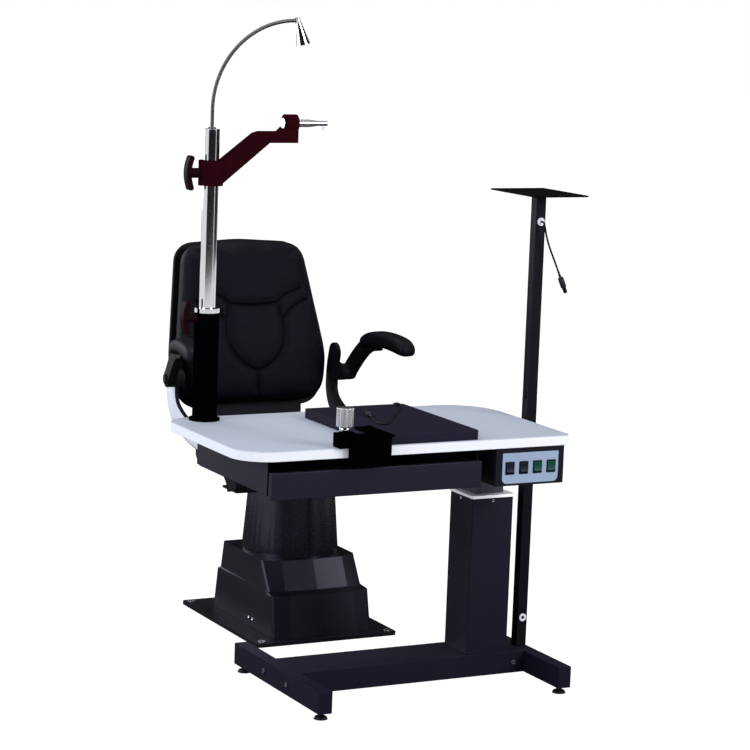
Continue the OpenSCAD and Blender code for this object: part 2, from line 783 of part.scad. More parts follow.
bolt_inset = 8;
bolt_ys = [beam_y - beam_d / 2 + bolt_inset, beam_y + beam_d / 2 - bolt_inset];
stud_inset = 32;
stud_x = rail_x1 - rail_w - stud_inset;

module rail(x0, x1) difference() {
    block([x0, rail_y0, foot_h], [x1, rail_y1, rail_top]);
    block([x0 + rail_wall, rail_y0 + rail_wall, foot_h + rail_wall],
        [x1 - rail_wall, rail_y1 - rail_wall, rail_top - rail_wall]);
    for (y = bolt_ys)
        rod_x(x0 - overrun, x1 + overrun, y, foot_h + rail_h / 2, screw_r);
    for (y = [rail_y0 + foot_inset, rail_y1 - foot_inset])
        rod((x0 + x1) / 2, y, foot_h - overrun, foot_h + rail_wall + overrun, screw_r);
}
foot_inset = 25;

module rail_left() color([0.2, 0.2, 0.25]) rail(rail_x0, rail_x0 + rail_w);

module rail_right() color([0.2, 0.2, 0.25]) rail(rail_x1 - rail_w, rail_x1);

module cross_beam() color([0.2, 0.2, 0.25]) difference() {
    block([rail_x0 + rail_w, beam_y - beam_d / 2, foot_h], [rail_x1 - rail_w, beam_y + beam_d / 2, rail_top]);
    block([rail_x0 + rail_w + 2 * rail_wall, beam_y - beam_d / 2 + rail_wall, foot_h - overrun],
        [rail_x1 - rail_w - 2 * rail_wall, beam_y + beam_d / 2 - rail_wall, rail_top - rail_wall]);
    for (y = bolt_ys)
        rod_x(rail_x0 + rail_w - overrun, rail_x1 - rail_w + overrun, y, foot_h + rail_h / 2, screw_r);
    rod_y(stud_x, beam_y - beam_d, beam_y, foot_h + rail_h / 2, screw_r);
}

bolt_head_r = 6.5;
module frame_bolts() color([0.3, 0.3, 0.32]) {
    for (y = bolt_ys, side = [0, 1]) {
        x = side == 0 ? rail_x0 : rail_x1;
        turn = side == 0 ? 0 : 180;
        translate([x, y, foot_h + rail_h / 2]) rotate([0, 0, turn]) {
            rod_x(-screw_head_t, 0, 0, 0, bolt_head_r);
            rod_x(-overrun, rail_w + 2 * rail_wall + overrun, 0, 0, screw_r - run_fit);
        }
    }
    front = beam_y - beam_d / 2;
    rod_y(stud_x, front - screw_head_t, front, foot_h + rail_h / 2, bolt_head_r);
    rod_y(stud_x, front - overrun, front + rail_wall + overrun, foot_h + rail_h / 2, screw_r - run_fit);
}

foot_pad_h = 7;
foot_pad_r = 18;
foot_neck_r = 7;
module levelling_feet() color([0.15, 0.15, 0.16])
    for (x = [rail_x0 + rail_w / 2, rail_x1 - rail_w / 2], y = [rail_y0 + foot_inset, rail_y1 - foot_inset]) {
        translate([x, y, 0]) cylinder(h = foot_pad_h, r1 = foot_pad_r, r2 = foot_pad_r * 0.8);
        rod(x, y, foot_pad_h, foot_h, foot_neck_r);
        rod(x, y, foot_h - overrun, foot_h + rail_wall + overrun, screw_r - run_fit);
    }

module column_casing() color([0.22, 0.22, 0.27]) difference() {
    linear_extrude_at(rail_top, column_h) polygon(rounded_rect(column_x - column_w / 2, beam_y - column_d / 2,
        column_x + column_w / 2, beam_y + column_d / 2, column_wall));
    linear_extrude_at(rail_top + column_wall, column_h) polygon(rounded_rect(
        column_x - column_w / 2 + column_wall, beam_y - column_d / 2 + column_wall,
        column_x + column_w / 2 - column_wall, beam_y + column_d / 2 - column_wall, column_wall));
}

cap_over = 3;
module column_cap() color("white") difference() {
    union() {
        linear_extrude_at(column_top, column_cap_t) polygon(rounded_rect(column_x - column_w / 2 - cap_over,
            beam_y - column_d / 2 - cap_over, column_x + column_w / 2 + cap_over,
            beam_y + column_d / 2 + cap_over, 2 * column_wall));
        linear_extrude_at(column_top - rail_w, rail_w) polygon(rounded_rect(
            column_x - column_w / 2 + column_wall, beam_y - column_d / 2 + column_wall,
            column_x + column_w / 2 - column_wall, beam_y + column_d / 2 - column_wall, column_wall));
    }
    linear_extrude_at(column_top - rail_w - overrun, rail_w + column_cap_t + 2 * overrun)
        polygon(rect(column_x - inner_w / 2 - slip, beam_y - inner_w / 2 - slip,
            column_x + inner_w / 2 + slip, beam_y + inner_w / 2 + slip));
}

module column_inner() color([0.3, 0.3, 0.33]) {
    difference() {
        block([column_x - inner_w / 2, beam_y - inner_w / 2, rail_top + inner_foot_rise],
            [column_x + inner_w / 2, beam_y + inner_w / 2, top_under]);
        block([column_x - inner_w / 2 + inner_wall, beam_y - inner_w / 2 + inner_wall, rail_top],
            [column_x + inner_w / 2 - inner_wall, beam_y + inner_w / 2 - inner_wall,
                top_under - column_flange_t]);
    }
    flange_d = min(column_flange, 2 * (beam_y - box_back_y));
    block([column_x - column_flange / 2, box_back_y + overrun, top_under - column_flange_t],
        [column_x + column_flange / 2, beam_y + column_flange / 2, top_under]);
}
box_back_y = front_y + box_d;

// Table top, drawer and control box

module table_top() color([0.93, 0.93, 0.95]) linear_extrude_at(top_under, top_t) polygon(rounded(
    rect(top_x0, top_y0, top_x1, top_y1),
    [corner_front_left, corner_front_right, corner_rear_right, corner_rear_left]));

module drawer_housing() color([0.2, 0.2, 0.26]) {
    difference() {
        block([housing_x0, housing_y0, housing_z0], [housing_x1, housing_y0 + housing_d, top_under]);
        block([housing_x0 + sheet_t, housing_y0 - overrun, housing_z0 + sheet_t],
            [housing_x1 - sheet_t, housing_y0 + housing_d - sheet_t, top_under + overrun]);
    }
    for (x = [housing_x0 + sheet_t, housing_x1 - sheet_t - runner_w])
        block([x, housing_y0, housing_z0 + sheet_t],
            [x + runner_w, housing_y0 + housing_d - sheet_t, housing_z0 + sheet_t + runner_h]);
}

drawer_z0 = housing_z0 + sheet_t + runner_h + slip;
drawer_x0 = housing_x0 + sheet_t + drawer_gap / 2;
drawer_x1 = housing_x1 - sheet_t - drawer_gap / 2;
drawer_y0 = front_y + drawer_front_t;
drawer_y1 = housing_y0 + housing_d - sheet_t - drawer_box_back;

module drawer_box() color([0.25, 0.25, 0.28]) difference() {
    block([drawer_x0, drawer_y0, drawer_z0], [drawer_x1, drawer_y1, drawer_z0 + drawer_box_h]);
    block([drawer_x0 + sheet_t, drawer_y0 + sheet_t, drawer_z0 + sheet_t],
        [drawer_x1 - sheet_t, drawer_y1 - sheet_t, drawer_z0 + drawer_box_h + overrun]);
}

module drawer_front() color([0.2, 0.2, 0.26])
    block([housing_x0, front_y, top_under - finger_gap - drawer_front_h],
        [housing_x0 + drawer_w, front_y + drawer_front_t, top_under - finger_gap]);

module at_rockers() {
    for (i = [0:rocker_count - 1]) translate([rocker_x0 + i * rocker_pitch, 0, rocker_z]) children();
}

module control_box() color([0.12, 0.12, 0.15]) {
    difference() {
        block([box_x0, front_y, top_under - box_h], [box_x1, box_back_y, top_under]);
        block([box_x0 + sheet_t, front_y + frame_t, top_under - box_h + sheet_t],
            [box_x1 - sheet_t, box_back_y - sheet_t, top_under - sheet_t]);
        at_rockers() block([-rocker_inner_w / 2, front_y - overrun, -rocker_inner_h / 2],
            [rocker_inner_w / 2, front_y + frame_t + overrun, rocker_inner_h / 2]);
    }
    at_rockers() difference() {
        block([-rocker_w / 2, front_y - panel_t - frame_stand, -rocker_h / 2],
            [rocker_w / 2, front_y + frame_t, rocker_h / 2]);
        block([-rocker_inner_w / 2, front_y - rocker_h, -rocker_inner_h / 2],
            [rocker_inner_w / 2, front_y + rocker_h, rocker_inner_h / 2]);
    }
}
rocker_rim = 2;
rocker_inner_w = rocker_w - 2 * rocker_rim;
rocker_inner_h = rocker_h - 2 * rocker_rim;

module switch_panel() color([0.62, 0.67, 0.78]) difference() {
    along_y(front_y - panel_t, front_y) polygon(rounded(
        rect(panel_x0, panel_z1 - panel_h, panel_x0 + panel_w, panel_z1),
        [panel_r, panel_r, panel_t, panel_t]));
    at_rockers() block([-rocker_w / 2, front_y - 2 * panel_t, -rocker_h / 2],
        [rocker_w / 2, front_y + panel_t, rocker_h / 2]);
}

// A rocker's ends are arcs about its pivot, so it turns inside its frame with an even gap
module rocker(i) {
    r = rocker_inner_h / 2 - rocker_gap;
    pivot_y = front_y - panel_t - frame_stand + rocker_pivot;
    translate([rocker_x0 + i * rocker_pitch, pivot_y, rocker_z]) rotate([-rocker_tilt, 0, 0])
        along_x(-rocker_inner_w / 2 + rocker_gap, rocker_inner_w / 2 - rocker_gap) intersection() {
            circle(r = r);
            polygon([[-rocker_pivot - r * sin(rocker_tilt), r], [-rocker_pivot, 0],
                [-rocker_pivot - r * sin(rocker_tilt), -r], [rocker_depth - rocker_pivot, -r],
                [rocker_depth - rocker_pivot, r]]);
        }
}
module rocker_1() color([0.1, 0.1, 0.12]) rocker(0);
module rocker_2() color([0.1, 0.1, 0.12]) rocker(1);
module rocker_3() color([0.05, 0.35, 0.25]) rocker(2);
module rocker_4() color([0.05, 0.35, 0.25]) rocker(3);

// Mast, lamp and instrument arm

module post() color([0.04, 0.03, 0.03]) difference() {
    union() {
        rod(post_x, post_y, top_z, post_top, post_r);
        rod(post_x, post_y, top_z, top_z + flange_t, flange_r);
    }
    rod(post_x, post_y, top_z + flange_t, post_top + overrun, post_r - post_wall);
    rod_x(post_x - 2 * post_r, post_x, post_y, post_top - mast_knob_drop, knob_screw_r + run_fit);
}

module post_collar() color("silver") difference() {
    union() {
        rod(post_x, post_y, post_top, post_top + collar_t, post_r);
        rod(post_x, post_y, post_top - collar_depth - mast_knob_drop, post_top, post_r - post_wall);
    }
    rod(post_x, post_y, mast_base, post_top + collar_t + overrun, mast_r + run_fit);
    rod_x(post_x - 2 * post_r, post_x, post_y, post_top - mast_knob_drop, knob_screw_r + run_fit);
}

module mast_tube() color([0.8, 0.8, 0.82]) difference() {
    rod(post_x, post_y, mast_base, mast_top, mast_r);
    rod(post_x, post_y, mast_base - overrun, mast_top - mast_cap_t - neck_plug, mast_r - mast_wall);
    rod(post_x, post_y, mast_top - mast_cap_t - neck_plug - overrun, mast_top + overrun, neck_r + run_fit);
}

neck_top = mast_top + neck_straight + neck_bend_r;
module lamp_neck() color([0.35, 0.35, 0.37]) translate([post_x, post_y, 0]) {
    rod(0, 0, mast_top - neck_plug, mast_top + neck_straight, neck_r);
    rod(0, 0, mast_top + slip, mast_top + neck_r, 2 * neck_r);
    translate([neck_bend_r, 0, mast_top + neck_straight]) rotate([90, 0, 0]) rotate([0, 0, 90])
        rotate_extrude(angle = 90) translate([neck_bend_r, 0]) circle(r = neck_r, $fn = 24);
}

module lamp_place() translate([post_x + neck_bend_r + neck_r / 2, post_y, neck_top])
    rotate([0, -lamp_tilt, 0]) children();

module lamp_head() color([0.8, 0.8, 0.82]) difference() {
    lamp_place() rotate_extrude() polygon([
        [0, knuckle_r], [knuckle_r, knuckle_r], [knuckle_r, -knuckle_r], [lamp_top_r + lamp_wall, -knuckle_r],
        [lamp_r, -lamp_len], [lamp_r - lamp_wall, -lamp_len], [lamp_top_r, -knuckle_r - lamp_wall],
        [0, -knuckle_r - lamp_wall]]);
    rod_x(post_x + neck_bend_r - 2 * knuckle_r, post_x + neck_bend_r, post_y, neck_top, neck_r);
}

module lamp_lens() color([0.95, 0.95, 0.9]) lamp_place()
    translate([0, 0, -lamp_len + lens_inset])
        cylinder(h = lens_t, r = lamp_r - lamp_wall - lens_fit);
lens_fit = 1.5;

// Outline of the arm in X and Z from the clamp's centre, as shares of the reach and the clamp's height
arm_low_shares = [[0.1, -0.45], [0.66, 1.21]];
arm_high_shares = [[0.79, 1.66], [0.57, 1.66], [0.5, 1.58], [0.1, 0.45]];
arm_top_shares = [2.06, 1.9];
arm_block_w = 32;
pin_rise_share = 1.99;
module instrument_arm() color([0.04, 0.02, 0.02]) translate([post_x, post_y, clamp_z]) difference() {
    union() {
        rod(0, 0, -clamp_h / 2, clamp_h / 2, clamp_r);
        along_y(-arm_t / 2, arm_t / 2) polygon(concat(
            [for (s = arm_low_shares) [s[0] * arm_reach, s[1] * clamp_h]],
            [[arm_reach, arm_low_shares[1][1] * clamp_h], [arm_reach, arm_top_shares[0] * clamp_h]],
            [for (s = arm_top_shares) [arm_reach - arm_block_w, s * clamp_h]],
            [for (s = arm_high_shares) [s[0] * arm_reach, s[1] * clamp_h]]));
        rod_x(arm_reach - arm_block_w, arm_reach, 0, pin_rise_share * clamp_h, arm_boss_r);
    }
    rod(0, 0, -clamp_h, clamp_h, mast_r + run_fit);
    rod_x(-2 * clamp_r, 0, 0, 0, knob_screw_r + run_fit);
    rod_x(arm_reach - 2 * arm_block_w, arm_reach + overrun, 0, pin_rise_share * clamp_h, pin_r);
    rod_x(arm_reach - 2 * arm_block_w, arm_reach - arm_block_w, 0, pin_rise_share * clamp_h, pin_head_r + slip);
}

arm_boss_r = 22.5;

// The instrument pin steps down through a taper to a nose with a cross pin
pin_head_r = 13;
pin_head_t = 5;
pin_shank_share = 0.42;
pin_nose_share = 0.7;
pin_nose_r = 6.5;
cross_r = 2;
module instrument_pin() color([0.85, 0.85, 0.86])
    translate([post_x + arm_reach, post_y, clamp_z + pin_rise_share * clamp_h]) {
        rod_x(-arm_block_w - pin_head_t, -arm_block_w, 0, 0, pin_head_r);
        rotate([0, 90, 0]) translate([0, 0, -arm_block_w]) rotate_extrude() polygon([
            [0, 0], [pin_r, 0], [pin_r, arm_block_w + pin_shank_share * pin_len],
            [pin_nose_r, arm_block_w + pin_nose_share * pin_len], [pin_nose_r, arm_block_w + pin_len],
            [0, arm_block_w + pin_len]]);
        translate([pin_len * 0.85, 0, 0]) rotate([160, 0, 0]) cylinder(h = 2.4 * pin_nose_r, r = cross_r);
    }

// A wing knob whose screw points along +X, with its mouth at the origin
module wing_knob(screw_len) {
    rod_x(-knob_stub_len - wing_bow, -slip, 0, 0, knob_stub_r);
    rod_x(-overrun, screw_len, 0, 0, knob_screw_r);
    route = [for (s = wing_shares) [-knob_stub_len - s[0] * wing_bow, s[1] * (wing_h - wing_t) / 2]];
    along_y(-wing_w / 2, wing_w / 2) polygon(strip(spline(route, 6), wing_t / 2));
    for (k = [0, len(route) - 1])
        rod_y(route[k].x, -wing_w / 2, wing_w / 2, route[k].y, wing_t / 2);
}
wing_shares = [[0.25, 1], [0.8, 0.5], [1, 0], [0.8, -0.5], [0.25, -1]];

module arm_knob() color([0.05, 0.02, 0.02]) translate([post_x - clamp_r, post_y, clamp_z])
    wing_knob(clamp_r - mast_r - slip);

module mast_knob() color([0.05, 0.02, 0.02]) translate([post_x - post_r, post_y, post_top - mast_knob_drop])
    wing_knob(post_r - mast_r - slip);

// Slide board and its edge clamp

board_edge_r = 6;
gland_inset = [34, 30];
gland_x = board_x0 + board_w - gland_inset.x;
gland_y = board_y0 + board_d - gland_inset.y;
gland_r = 7;
gland_h = 8;
module slide_board() color([0.12, 0.12, 0.15]) {
    linear_extrude_at(board_z0, board_t)
        polygon(rounded_rect(board_x0, board_y0, board_x0 + board_w, board_y0 + board_d, board_edge_r));
    block([gland_x - gland_r, gland_y - gland_r, board_top],
        [gland_x + gland_r, gland_y + gland_r, board_top + gland_h]);
}

module edge_clamp() color([0.04, 0.04, 0.05]) difference() {
    union() {
        block([edge_x0, top_y0 - edge_gap - edge_t, top_under - edge_gap - edge_hook_h],
            [edge_x0 + edge_clamp_w, top_y0 - edge_gap, board_top + edge_rise]);
        block([board_x0 - edge_over / 3, top_y0 - edge_gap - edge_t, board_top],
            [board_x0 + edge_over, board_y0 + edge_back, board_top + edge_top_t]);
        for (k = [0, 1])
            rod(board_x0 + edge_over * 0.6, board_y0 + edge_back - edge_over / 2 - k * edge_screw_pitch,
                board_top, board_top + edge_top_t + screw_head_t, screw_head_r);
        block([edge_x0, top_y0 - edge_gap - edge_t, top_under - edge_gap - edge_hook_h],
            [edge_x0 + edge_clamp_w, top_y0 + edge_hook_reach, top_under - edge_gap]);
        block([knob_x - knob_boss_w / 2, knob_y - knob_boss_w / 2, knob_boss_z - edge_top_t],
            [edge_x0 + knob_boss_w / 2, knob_y + knob_boss_w / 2, knob_boss_z - edge_top_t + knob_boss_t]);
    }
    rod(knob_x, knob_y, top_z, board_top + knob_boss_w, clamp_screw_r + run_fit);
}

knob_grip_count = 16;
knob_grip_r = 1.6;
knob_seat_z = knob_boss_z - edge_top_t + knob_boss_t;
module clamp_knob() color([0.82, 0.82, 0.84]) {
    head_z = knob_seat_z + slip + knob_neck_h;
    rod(knob_x, knob_y, top_z + edge_gap, knob_seat_z + overrun, clamp_screw_r);
    rod(knob_x, knob_y, knob_seat_z + slip, head_z, knob_neck_r);
    difference() {
        rod(knob_x, knob_y, head_z, head_z + knob_head_h, knob_r);
        for (k = [0:knob_grip_count - 1])
            translate([knob_x, knob_y, 0]) rotate([0, 0, 360 * k / knob_grip_count])
                rod(knob_r, 0, head_z + knob_head_h / 3, head_z + knob_head_h + overrun, knob_grip_r);
    }
}

// Projector post

module pole(z0, z1) difference() {
    block([pole_x - pole_w / 2, pole_y - pole_w / 2, z0], [pole_x + pole_w / 2, pole_y + pole_w / 2, z1]);
    block([pole_x - pole_w / 2 + pole_wall, pole_y - pole_w / 2 + pole_wall, z0 - overrun],
        [pole_x + pole_w / 2 - pole_wall, pole_y + pole_w / 2 - pole_wall, z1 + overrun]);
    for (z = grommet_zs)
        rod_y(pole_x, pole_y - pole_w, pole_y, z, grommet_r - grommet_lip);
}
grommet_lip = 2;
grommet_zs = [rail_top + grommet_low_rise, pole_top - grommet_drop];

module pole_lower() color([0.1, 0.1, 0.12]) pole(rail_top, splice_z);

module pole_upper() color([0.1, 0.1, 0.12]) pole(splice_z, pole_top);

module pole_splice() color([0.2, 0.2, 0.22]) {
    w = pole_w / 2 - pole_wall - run_fit;
    block([pole_x - w, pole_y - w, splice_z - splice_len / 2],
        [pole_x + w, pole_y + w, splice_z + splice_len / 2]);
    for (side = [-1, 1])
        mirror_at_x(pole_x, side)
            rod_x(pole_x + pole_w / 2, pole_x + pole_w / 2 + screw_head_t, pole_y, splice_z, screw_r);
}

module mirror_at_x(x, side) translate([x, 0, 0]) mirror([side > 0 ? 0 : 1, 0, 0]) translate([-x, 0, 0])
    children();

module pole_grommets() color("white") for (z = grommet_zs) difference() {
    union() {
        rod_y(pole_x, pole_y - pole_w / 2 - grommet_t, pole_y - pole_w / 2, z, grommet_r);
        rod_y(pole_x, pole_y - pole_w / 2 - overrun / 2, pole_y - pole_w / 2 + pole_wall, z,
            grommet_r - grommet_lip);
    }
    if (z < tray_z / 2)
        rod_y(pole_x, pole_y - pole_w, pole_y, z, grommet_bore_r);
}

module tray() color([0.05, 0.05, 0.05]) {
    linear_extrude_at(pole_top, tray_t) polygon(rounded_rect(pole_x - tray_w / 2, pole_y - tray_d / 2,
        pole_x + tray_w / 2, pole_y + tray_d / 2, tray_t));
    w = pole_w / 2 - pole_wall - run_fit;
    block([pole_x - w, pole_y - w, pole_top - pole_w], [pole_x + w, pole_y + w, pole_top]);
}

// Leads. Their routes are chosen by hand
lead_r = 2;
pigtail_r = 2.5;
lead_sides = 8;
pigtail_route = [[337, -717, 1189], [337, -725, 1189], [337, -732, 1185], [338, -736, 1174],
    [341, -738, 1157], [348, -738, 1136], [358, -738, 1113], [371, -738, 1086], [382, -738, 1062]];
plug_r = 7.5;
plug_len = 50;
module pigtail_lead() color([0.15, 0.15, 0.17]) swept(spline(pigtail_route, 2), pigtail_r, lead_sides);

module pigtail_plug() color([0.3, 0.3, 0.33]) {
    last = len(pigtail_route) - 1;
    d = unit(pigtail_route[last] - pigtail_route[last - 1]);
    e = pigtail_route[last];
    translate(e) rotate([0, acos(d.z), atan2(d.y, d.x)]) {
        cylinder(h = plug_len / 4, r1 = pigtail_r * 1.4, r2 = plug_r);
        translate([0, 0, plug_len / 4]) cylinder(h = plug_len * 0.55, r = plug_r);
        translate([0, 0, plug_len * 0.8]) cylinder(h = plug_len * 0.4, r = plug_r * 0.7);
    }
}

board_lead_route = [[10, -591, 708], [10, -600, 707.5], [4, -614, 707], [-8, -636, 706.5], [-26, -664, 706.5],
    [-46, -692, 706.5], [-68, -722, 706.5], [-90, -752, 706.5], [-112, -784, 706.5], [-128, -808, 706.5],
    [-140, -823, 706.5], [-151, -828, 706.5], [-158, -820, 706.5], [-158, -803, 706.5], [-154, -780, 706.5],
    [-148, -757, 707], [-142, -736, 708.5]];
board_plug_r = 6;
board_plug_len = 62;
module board_lead() color([0.1, 0.1, 0.12]) swept(spline(board_lead_route, 2), lead_r, lead_sides);

module board_plug() color([0.2, 0.2, 0.22]) {
    last = len(board_lead_route) - 1;
    e = board_lead_route[last];
    d = board_lead_route[last] - board_lead_route[last - 1];
    translate([e.x, e.y, board_top + board_plug_r]) rotate([0, 90, atan2(d.y, d.x)]) {
        cylinder(h = board_plug_len * 0.7, r = board_plug_r);
        cylinder(h = board_plug_len, r = board_plug_r * 0.6);
    }
}

base_plate();
base_washers();
base_cover_front();
base_cover_rear();
cover_screws();
chair_lift_outer();
chair_actuator();
rail_left();
rail_right();
cross_beam();
frame_bolts();
levelling_feet();
column_casing();
column_cap();
pole_lower();
pole_upper();
pole_splice();
pole_grommets();
tray();
pigtail_lead();
pigtail_plug();
chair_cone();
chair_lift_inner();
seat_pan();
seat_cushion();
back_bracket();
back_shell();
back_cushion();
arm_bracket_right();
arm_bracket_left();
arm_link_right();
arm_link_left();
arm_pad_right();
arm_pad_left();
column_inner();
table_top();
drawer_housing();
drawer_front();
drawer_box();
control_box();
switch_panel();
rocker_1();
rocker_2();
rocker_3();
rocker_4();
post();
post_collar();
mast_tube();
lamp_neck();
lamp_head();
lamp_lens();
instrument_arm();
instrument_pin();
arm_knob();
mast_knob();
slide_board();
edge_clamp();
clamp_knob();
board_lead();
board_plug();
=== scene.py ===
# %% [markdown]
# # An examination chair with its instrument table: the looks
#
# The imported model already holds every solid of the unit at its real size: a powered chair, a table on a
# lifting column, a lamp mast and a projector post. This notebook gives each of them the surface that it
# has on the real object. Lengths are in metres, +Z is up and the origin is the chair's swivel axis on the
# floor. The model is loaded first, because every piece below takes its size and its place from it.

# %% The frame
import json
import math

import bmesh
import bpy
from mathutils import Matrix, Vector
from mathutils.bvhtree import BVHTree

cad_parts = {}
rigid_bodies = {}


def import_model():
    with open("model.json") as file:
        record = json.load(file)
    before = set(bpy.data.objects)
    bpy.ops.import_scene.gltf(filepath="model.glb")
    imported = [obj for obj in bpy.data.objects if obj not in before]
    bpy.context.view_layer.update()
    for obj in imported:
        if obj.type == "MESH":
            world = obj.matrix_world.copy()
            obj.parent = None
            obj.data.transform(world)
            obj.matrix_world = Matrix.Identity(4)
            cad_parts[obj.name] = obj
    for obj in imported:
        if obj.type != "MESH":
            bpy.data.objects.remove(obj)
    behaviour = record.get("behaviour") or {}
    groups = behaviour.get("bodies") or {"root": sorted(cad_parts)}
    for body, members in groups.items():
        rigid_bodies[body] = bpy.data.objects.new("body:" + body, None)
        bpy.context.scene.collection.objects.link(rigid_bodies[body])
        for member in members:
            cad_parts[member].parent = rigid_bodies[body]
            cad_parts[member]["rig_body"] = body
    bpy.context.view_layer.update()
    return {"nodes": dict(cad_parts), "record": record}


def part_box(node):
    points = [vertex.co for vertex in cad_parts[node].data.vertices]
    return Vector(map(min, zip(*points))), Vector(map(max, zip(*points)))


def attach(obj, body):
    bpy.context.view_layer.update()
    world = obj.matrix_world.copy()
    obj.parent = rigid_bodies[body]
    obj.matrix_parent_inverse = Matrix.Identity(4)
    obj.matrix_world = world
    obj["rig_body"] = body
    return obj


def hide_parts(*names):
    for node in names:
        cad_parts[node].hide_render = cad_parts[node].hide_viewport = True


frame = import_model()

nodes = frame["nodes"]
slot_of = {part["node"]: part["material_slot"] for part in frame["record"]["subparts"]}
body_of = {name: node["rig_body"] for name, node in nodes.items()}
mm = 0.001
scene = bpy.context.scene

# %% [markdown]
# ## The camera
#
# The photograph was taken from the front left, a little above the table, with a long lens. The place and
# the turn were worked out from the straight edges of the table and the floor rails. A camera looks along
# its own -Z, so its matrix holds the directions right, up and backwards.

# %% Camera
camera_place = Vector((-3.0771, -6.3595, 1.805))
camera_yaw = 0.4819
camera_pitch = 0.1549
camera_roll = 0.0372
focal_length = 123.98
sensor = 36


def object_of(name, data):
    """A new object in the scene."""
    made = bpy.data.objects.new(name, data)
    scene.collection.objects.link(made)
    return made


level = Vector((math.cos(camera_yaw), -math.sin(camera_yaw), 0))
ahead = Vector((math.sin(camera_yaw), math.cos(camera_yaw), -math.tan(camera_pitch))).normalized()
right = math.cos(camera_roll) * level + math.sin(camera_roll) * level.cross(ahead)
up = right.cross(ahead)
lens = bpy.data.cameras.new("camera")
lens.lens = focal_length
lens.sensor_width = sensor
camera = object_of("camera", lens)
turn = Matrix((right, up, -ahead)).transposed().to_4x4()
camera.matrix_world = Matrix.Translation(camera_place) @ turn
scene.camera = camera
print("camera looks along", [round(value, 3) for value in ahead])

# %% [markdown]
# ## Lines and outlines
#
# Most pieces start from a line: a cord's route, a profile on a lathe, the outline of a board. Two helpers
# draw them. One runs a smooth curve through points, the other rounds the corners of a line by true arcs.

# %% Helpers for lines
def smooth(points, steps):
    """A Catmull-Rom curve through the points."""
    last = len(points) - 1
    found = []
    for i in range(last):
        a, b, c, d = (points[min(max(k, 0), last)] for k in range(i - 1, i + 3))
        for k in range(steps):
            t = k / steps
            bend = (2 * a - 5 * b + 4 * c - d) * t * t + (3 * b - a - 3 * c + d) * t ** 3
            found.append((2 * b + (c - a) * t + bend) / 2)
    return found + [points[last]]


def arc(before, corner, after, radius, steps):
    """The points of one rounded corner."""
    u = (before - corner).normalized()
    v = (after - corner).normalized()
    half = u.angle(v) / 2
    centre = corner + (u + v).normalized() * radius / math.sin(half)
    start = corner + u * radius / math.tan(half) - centre
    sweep = math.pi - 2 * half
    side = 1 if start.x * (corner - centre).y - start.y * (corner - centre).x > 0 else -1
    return [centre + Matrix.Rotation(side * sweep * k / steps, 2) @ start for k in range(steps + 1)]


def rounded(points, radii, closed=True, steps=8):
    """A line with its corners rounded, each by its own radius, where 0 leaves a corner sharp."""
    points = [Vector(p) for p in points]
    count = len(points)
    found = []
    for i, (p, r) in enumerate(zip(points, radii)):
        inner = closed or 0 < i < count - 1
        if r and inner:
            found += arc(points[i - 1], p, points[(i + 1) % count], r, steps)
        else:
            found.append(p)
    return found


def rectangle(low, high):
    return [(low[0], low[1]), (high[0], low[1]), (high[0], high[1]), (low[0], high[1])]


print("a rounded square has", len(rounded(rectangle((0, 0), (1, 1)), [0.1] * 4)), "points")

# %% [markdown]
# ## Meshes
#
# Three ways of making a solid cover most of the hard parts. A loft joins rings of equal count, a lathe
# turns a profile about an axis, and an eased copy takes a machined solid from the model and rounds its
# edges, because no real edge is perfectly sharp and the fine highlight on it is what makes it look real.
# Weighted normals then keep the flat faces flat.

# %% Helpers for meshes
def piece_from(name, points, faces):
    """A new object with its normals outwards and smooth shading."""
    mesh = bpy.data.meshes.new(name)
    mesh.from_pydata([tuple(p) for p in points], [], faces)
    work = bmesh.new()
    work.from_mesh(mesh)
    bmesh.ops.remove_doubles(work, verts=work.verts, dist=1e-7)
    bmesh.ops.recalc_face_normals(work, faces=work.faces)
    work.to_mesh(mesh)
    work.free()
    mesh.shade_smooth()
    return object_of(name, mesh)


def settle(piece):
    """Makes what the modifiers show the piece's own mesh."""
    depsgraph = bpy.context.evaluated_depsgraph_get()
    made = bpy.data.meshes.new_from_object(piece.evaluated_get(depsgraph))
    piece.modifiers.clear()
    piece.data = made
    return piece


def flat_faces(piece):
    """Keeps large faces flat next to their rounded edges."""
    weigh = piece.modifiers.new("flat faces", "WEIGHTED_NORMAL")
    weigh.keep_sharp = True
    return settle(piece)


def skin(count, rows):
    """The faces between rows of count points each."""
    faces = []
    for j in range(rows - 1):
        for i in range(count):
            k = (i + 1) % count
            faces.append([j * count + i, j * count + k, (j + 1) * count + k, (j + 1) * count + i])
    return faces


def lofted(name, rings):
    """A skin over rings of equal count, closed at both ends."""
    count = len(rings[0])
    points = [p for ring in rings for p in ring]
    ends = [list(range(count)), list(range(len(points) - count, len(points)))]
    return piece_from(name, points, skin(count, len(rings)) + ends)


def turned(name, profile, place, axis=(0, 0, 1), sides=64):
    """A solid turned on a lathe, from a closed profile or one that starts and ends on the axis."""
    to_axis = Vector((0, 0, 1)).rotation_difference(Vector(axis)).to_matrix()
    profile = [Vector(p) for p in profile]
    open_line = profile[0].x < 1e-7 and profile[-1].x < 1e-7
    rings = profile if open_line else profile + [profile[0]]
    points = []
    for p in rings:
        for k in range(sides):
            a = 2 * math.pi * k / sides
            points.append(Vector(place) + to_axis @ Vector((p.x * math.cos(a), p.x * math.sin(a), p.y)))
    return piece_from(name, points, skin(sides, len(rings)))


def moved_in(outline, distance):
    """A closed outline that runs counter-clockwise, moved inwards."""
    count = len(outline)
    found = []
    for i, p in enumerate(outline):
        before = (p - outline[i - 1]).normalized()
        after = (outline[(i + 1) % count] - p).normalized()
        along = (before + after).normalized()
        found.append(p + distance * Vector((-along.y, along.x)))
    return found


